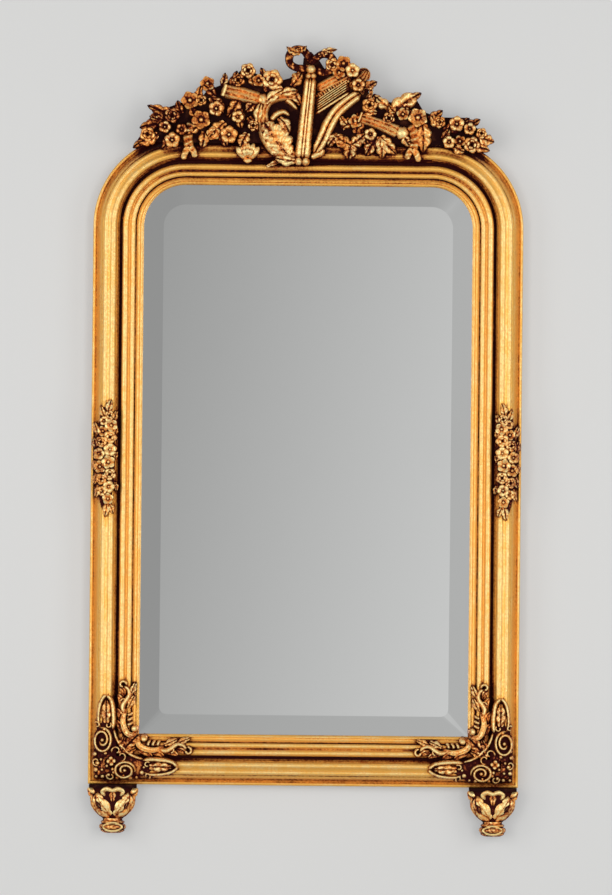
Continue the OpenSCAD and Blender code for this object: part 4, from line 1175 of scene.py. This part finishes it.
# %% [markdown]
# ## Gilding
#
# Leaf gold lies on orange-red clay. Where it is rubbed, on the high edges, the clay warms it. In
# the hollows it is darkened to near black: painted shade, together with dark wax. Where it is half
# hidden, a red glaze is both toning and painted warm shade, the light that gilt throws on gilt. On
# the open, high parts the gold is paler, partly as burnish and partly as a painted highlight. The
# hidden share and the wax decide between them, and cloudy noise breaks the borders up, so that no
# edge follows the mesh. A thin clear varnish, the coat, gives the pale glints that old water
# gilding shows. Nobody gilds what faces the wall, so the last few millimetres there are bare wood.

# %% Gilding
BARE_V = 7.5
BARE_BELOW = 10
RUBBED_CLAY = (0.85, 0.36, 0.08, 1)
RED_GLAZE_AND_WARM_SHADE = (0.38, 0.045, 0.006, 1)
DARK_WAX_AND_SHADE = (0.034, 0.002, 0.002, 1)
BARE_WOOD = (0.46, 0.31, 0.16, 1)


def gilding(name, bright, deep, toned, patchy, metal):
    """Toned gold with painted shade; toned says from how much shade and wax it is dark, and patchy how far
    clouds shift that.
    """
    gold = Recipe(name)
    hidden = gold.node("ShaderNodeAttribute", {"attribute_name": "hidden"}, {}, out="Fac")
    wax = gold.node("ShaderNodeAttribute", {"attribute_name": "wax"}, {}, out="Fac")
    clouds = gold.eased(gold.noise(34, 5), 0.34, 0.66)
    grain = gold.eased(gold.noise(230, 4), 0.36, 0.64)
    # The hidden share is painted shade, and the wax is toning with some painted shade.
    shade_and_toning = hidden + wax + (clouds - 0.5) * patchy + (grain - 0.5) * patchy * 1.6
    # Near black in the hollows, and a red glaze where half hidden: painted shade with dark wax.
    dark = gold.eased(shade_and_toning, *toned)
    glaze_and_warm_shade = gold.eased(shade_and_toning, toned[0] - 0.24, toned[1] - 0.06)
    rubbed = gold.eased(clouds + grain - hidden * 2, 1.2, 1.9)
    # Paler gold on open parts: partly burnish, partly a painted highlight.
    burnish_and_highlight = gold.eased(clouds * 0.6 - shade_and_toning * 2, -0.35, 0.4)
    leaf_colour = gold.mixed(burnish_and_highlight, deep, bright)
    worn = gold.mixed(rubbed * 0.3, leaf_colour, RUBBED_CLAY)
    glazed_and_shaded = gold.mixed(glaze_and_warm_shade * 0.9, worn, RED_GLAZE_AND_WARM_SHADE)
    colour = gold.mixed(dark, glazed_and_shaded, DARK_WAX_AND_SHADE)
    bare = gold.eased(gold.axis("Y"), -BARE_BELOW * MM, -BARE_V * MM)
    plain = gold.eased(dark + bare, 0.0, 1.0)
    gold.rough_skin(grain + clouds * 0.5, 0.25, 0.0006)
    return gold.finish(Base_Color=gold.mixed(bare, colour, BARE_WOOD), Metallic=metal - plain * metal,
                       Roughness=0.38 + plain * 0.3 + grain * 0.12,
                       Coat_Weight=0.16 - plain * 0.16, Coat_Roughness=0.28, Specular_IOR_Level=0.1)


carved_gold = gilding("carved_gold", bright=(1.0, 0.78, 0.34, 1), deep=(1.0, 0.45, 0.10, 1),
                      toned=(0.33, 0.55), patchy=0.15, metal=0.58)
frame_gold = gilding("frame_gold", bright=(0.94, 0.63, 0.23, 1), deep=(0.92, 0.49, 0.10, 1),
                     toned=(0.60, 0.84), patchy=0.09, metal=0.56)
for thing in made:
    carved = thing.name.startswith("carved")
    thing.data.materials.append(carved_gold if carved else frame_gold)
print("gilt pieces:", len(made))

# %% [markdown]
# ## Plain finishes
#
# What stays from the measured model is dressed by its material slots: the glass, the dark ground
# board, bare softwood behind, cork pads and steel. The ground's near black is partly its own dark
# paint and partly painted shade round the carvings. Wood grain is noise that is stretched along
# one axis, and cork is the same with finer noise.

# %% Glass, ground, wood and steel
def mirror_glass():
    glass = Recipe("silvered_glass")
    mist = glass.eased(glass.noise(6, 3), 0.55, 0.95)
    return glass.finish(Base_Color=glass.mixed(mist * 0.4, (0.93, 0.94, 0.93, 1), (0.86, 0.87, 0.86, 1)),
                        Metallic=1.0, Roughness=0.015 + mist * 0.02)


# The dark ground: its own dark paint, and partly painted shade round the carvings.
def dark_ground_and_shade():
    ground = Recipe("dark_ground_and_shade")
    clouds = ground.noise(60, 6)
    ground.rough_skin(clouds, 0.8, 0.003)
    shown = ground.eased(clouds, 0.5, 0.75)
    return ground.finish(Base_Color=ground.mixed(shown, (0.014, 0.002, 0.002, 1), (0.06, 0.016, 0.007, 1)),
                         Roughness=0.6 + clouds * 0.2, Specular_IOR_Level=0.05)


def bare_wood(name, pale, dark, scale=60):
    wood = Recipe(name)
    grain = wood.noise(scale, 6, (1, 1, 0.06))
    wood.rough_skin(grain, 0.3, 0.0006)
    return wood.finish(Base_Color=wood.mixed(wood.eased(grain, 0.35, 0.7), pale, dark),
                       Roughness=0.62 + grain * 0.2)


def bright_steel():
    steel = Recipe("bright_steel")
    brushed = steel.noise(900, 3, (1, 1, 0.1))
    steel.rough_skin(brushed, 0.1, 0.0001)
    return steel.finish(Base_Color=steel.mixed(brushed, (0.50, 0.49, 0.46, 1), (0.62, 0.61, 0.58, 1)),
                        Metallic=1.0, Roughness=0.3 + brushed * 0.15)


finishes = {"silvered_glass": mirror_glass(), "dark_bole": dark_ground_and_shade(),
            "bare_pine": bare_wood("bare_pine", (0.55, 0.38, 0.20, 1), (0.38, 0.23, 0.10, 1)),
            "cork": bare_wood("cork", (0.42, 0.27, 0.13, 1), (0.25, 0.14, 0.06, 1), 400),
            "steel": bright_steel(), "gilt": frame_gold, "shaded_gilt": frame_gold}
for part in frame["record"]["subparts"]:
    thing = frame["nodes"][part["node"]]
    thing.data.materials.clear()
    thing.data.materials.append(finishes[part["material_slot"]])
print("finishes:", sorted(finishes))

# %% [markdown]
# ## Wall, floor, light and camera
#
# The mirror hangs on a pale wall above a floor. Both show only from their front and let light
# through, so the mirror's back can be lit and looked at too. The wall also shows in reflections.

# %% Wall and floor
WALL_Y = 0.0012
FLOOR_Z = -1.6
STUDIO = 6
WALL_TOP = 5


def sheet(name, corners, recipe):
    """A flat surface of the studio."""
    mesh = bpy.data.meshes.new(name)
    mesh.from_pydata(corners, [], [(0, 1, 2, 3)])
    mesh.materials.append(recipe.material)
    return in_scene(name, mesh)


def stage_plane(name, corners, colour, glow, reflected):
    """A sheet that only shows from its front; glow softens the shadows on it."""
    paint = Recipe(name)
    paint.finish(Base_Color=colour, Roughness=0.9, Specular_IOR_Level=0.0,
                 Emission_Color=(1, 1, 1, 1), Emission_Strength=glow)
    camera_ray = paint.node("ShaderNodeLightPath", {}, {}, out="Is Camera Ray")
    glossy_ray = paint.node("ShaderNodeLightPath", {}, {}, out="Is Glossy Ray") * reflected
    from_behind = paint.node("ShaderNodeNewGeometry", {}, {}, out="Backfacing")
    clear = paint.node("ShaderNodeBsdfTransparent", {}, {})
    shown = (camera_ray + glossy_ray) * (1 - from_behind)
    painted = Wire(paint, paint.shader.outputs[0])
    surface = paint.node("ShaderNodeMixShader", {}, {0: shown, 1: clear, 2: painted})
    paint.feed(paint.tree.nodes["Material Output"].inputs["Surface"], surface)
    thing = sheet(name, corners, paint)


stage_plane("wall", [(x, WALL_Y, z) for x, z in ((-STUDIO, FLOOR_Z), (STUDIO, FLOOR_Z),
                                                 (STUDIO, WALL_TOP), (-STUDIO, WALL_TOP))],
            (0.46, 0.46, 0.45, 1), 0.23, reflected=1)
stage_plane("floor", [(x, y, FLOOR_Z) for x, y in ((-STUDIO, -STUDIO), (STUDIO, -STUDIO),
                                                   (STUDIO, STUDIO), (-STUDIO, STUDIO))],
            (0.74, 0.74, 0.70, 1), 0, reflected=0)
print("the floor lies", round(NECK_Z - BUN_H - FLOOR_Z / MM), "mm below the feet")

# %% [markdown]
# Silvered glass shows what stands before it, so it needs a room to reflect. A grey card behind the
# softboxes stands for that room. It is brighter to the right and darker at its edges, like the
# glass in the photograph, and only reflections see it.

# %% Room card
CARD_Y = -8.2
CARD_HALF = 2.6
SIDE_FADE = (0.51, 1.02)
TOP_FADE = (0.84, 1.39)
DIM = (0.30, 0.30, 0.30, 1)
LIT = (0.65, 0.65, 0.65, 1)


def room_card():
    grey = Recipe("room_card")
    x = grey.axis("X")
    z = grey.axis("Z")
    slope = grey.eased(x * 0.465 - z * 0.11 + 0.5, 0.0, 1.0)
    beside = grey.eased(x.math("ABSOLUTE", x, 0.0), *SIDE_FADE)
    above = grey.eased(z.math("ABSOLUTE", z, 0.0), *TOP_FADE)
    tone = grey.mixed(slope, DIM, LIT)
    shade = grey.mixed(beside.math("MAXIMUM", beside, above) * 0.56, tone, DIM)
    grey.finish(Base_Color=(0, 0, 0, 1), Emission_Color=shade, Emission_Strength=1.0, Roughness=1.0)
    corners = [(x * CARD_HALF, CARD_Y, z * CARD_HALF) for x, z in ((-1, -1), (-1, 1), (1, 1), (1, -1))]
    card = sheet("room_card", corners, grey)
    card.visible_camera = False
    card.visible_diffuse = False
    card.visible_shadow = False


room_card()
print("the card is", 2 * CARD_HALF, "m wide and", -CARD_Y, "m away")

# %% [markdown]
# Gold shows what it reflects, so the lamps are broad softboxes, like windows on both sides. The
# lamp in front would be a white patch in the glass, so reflections don't see it. One more lamp
# stands behind, for views of the back.

# %% Lights
AIM = Vector((0, 0, 0.05))
ROOM_GREY = (0.85, 0.85, 0.85, 1)
ROOM_GLOW = 0.36


def softbox(name, place, size, power):
    """An oblong lamp aimed at the middle of the mirror; size is its width and height in metres."""
    lamp = bpy.data.lights.new(name, "AREA")
    lamp.shape = "RECTANGLE"
    lamp.size, lamp.size_y = size
    lamp.energy = power
    thing = in_scene(name, lamp)
    thing.location = place
    thing.rotation_euler = (AIM - Vector(place)).to_track_quat("-Z", "Y").to_euler()
    return thing


for way in (-1, 1):
    softbox("side_window", (way * 2.7, -2.3, 0.1), (1.0, 2.6), 24)
    softbox("near_window", (way * 2.0, -4.3, 0.1), (1.3, 3.0), 46)
fill = softbox("front_fill", (0.0, -5.0, 0.2), (3.0, 2.0), 30)
fill.visible_glossy = False
softbox("back_fill", (0.6, 4.0, 0.8), (3.0, 2.0), 50)
room = bpy.data.worlds.new("room")
room.use_nodes = True
room.node_tree.nodes["Background"].inputs["Color"].default_value = ROOM_GREY
room.node_tree.nodes["Background"].inputs["Strength"].default_value = ROOM_GLOW
bpy.context.scene.world = room
bpy.context.scene.view_settings.view_transform = "Standard"
print("lamps:", len(bpy.data.lights))

# %% [markdown]
# The photograph is taken straight from the front and from afar, and turned half a degree. The
# lens is worked out from the height that the picture takes in at the plane whose scale was
# measured, so the scale is right at once.

# %% Camera
PICTURE_PIXELS = 895
MM_A_PIXEL = 1.859
PICTURE_H = PICTURE_PIXELS * MM_A_PIXEL * MM
PICTURE_X = -0.0004
PICTURE_Z = 0.0244
FILM = 36
CAMERA_AWAY = 14.0
SCALE_PLANE = 0.03
ROLL = math.radians(0.573)
camera_data = bpy.data.cameras.new("camera")
camera_data.sensor_fit = "VERTICAL"
camera_data.sensor_height = FILM
camera_data.sensor_width = FILM
camera_data.lens = FILM * (CAMERA_AWAY - SCALE_PLANE) / PICTURE_H
camera = in_scene("camera", camera_data)
camera.location = (PICTURE_X, -CAMERA_AWAY, PICTURE_Z)
camera.rotation_euler = (math.pi / 2, -ROLL, 0)
bpy.context.scene.camera = camera
print("lens:", round(camera_data.lens, 1), "mm")

# %% [markdown]
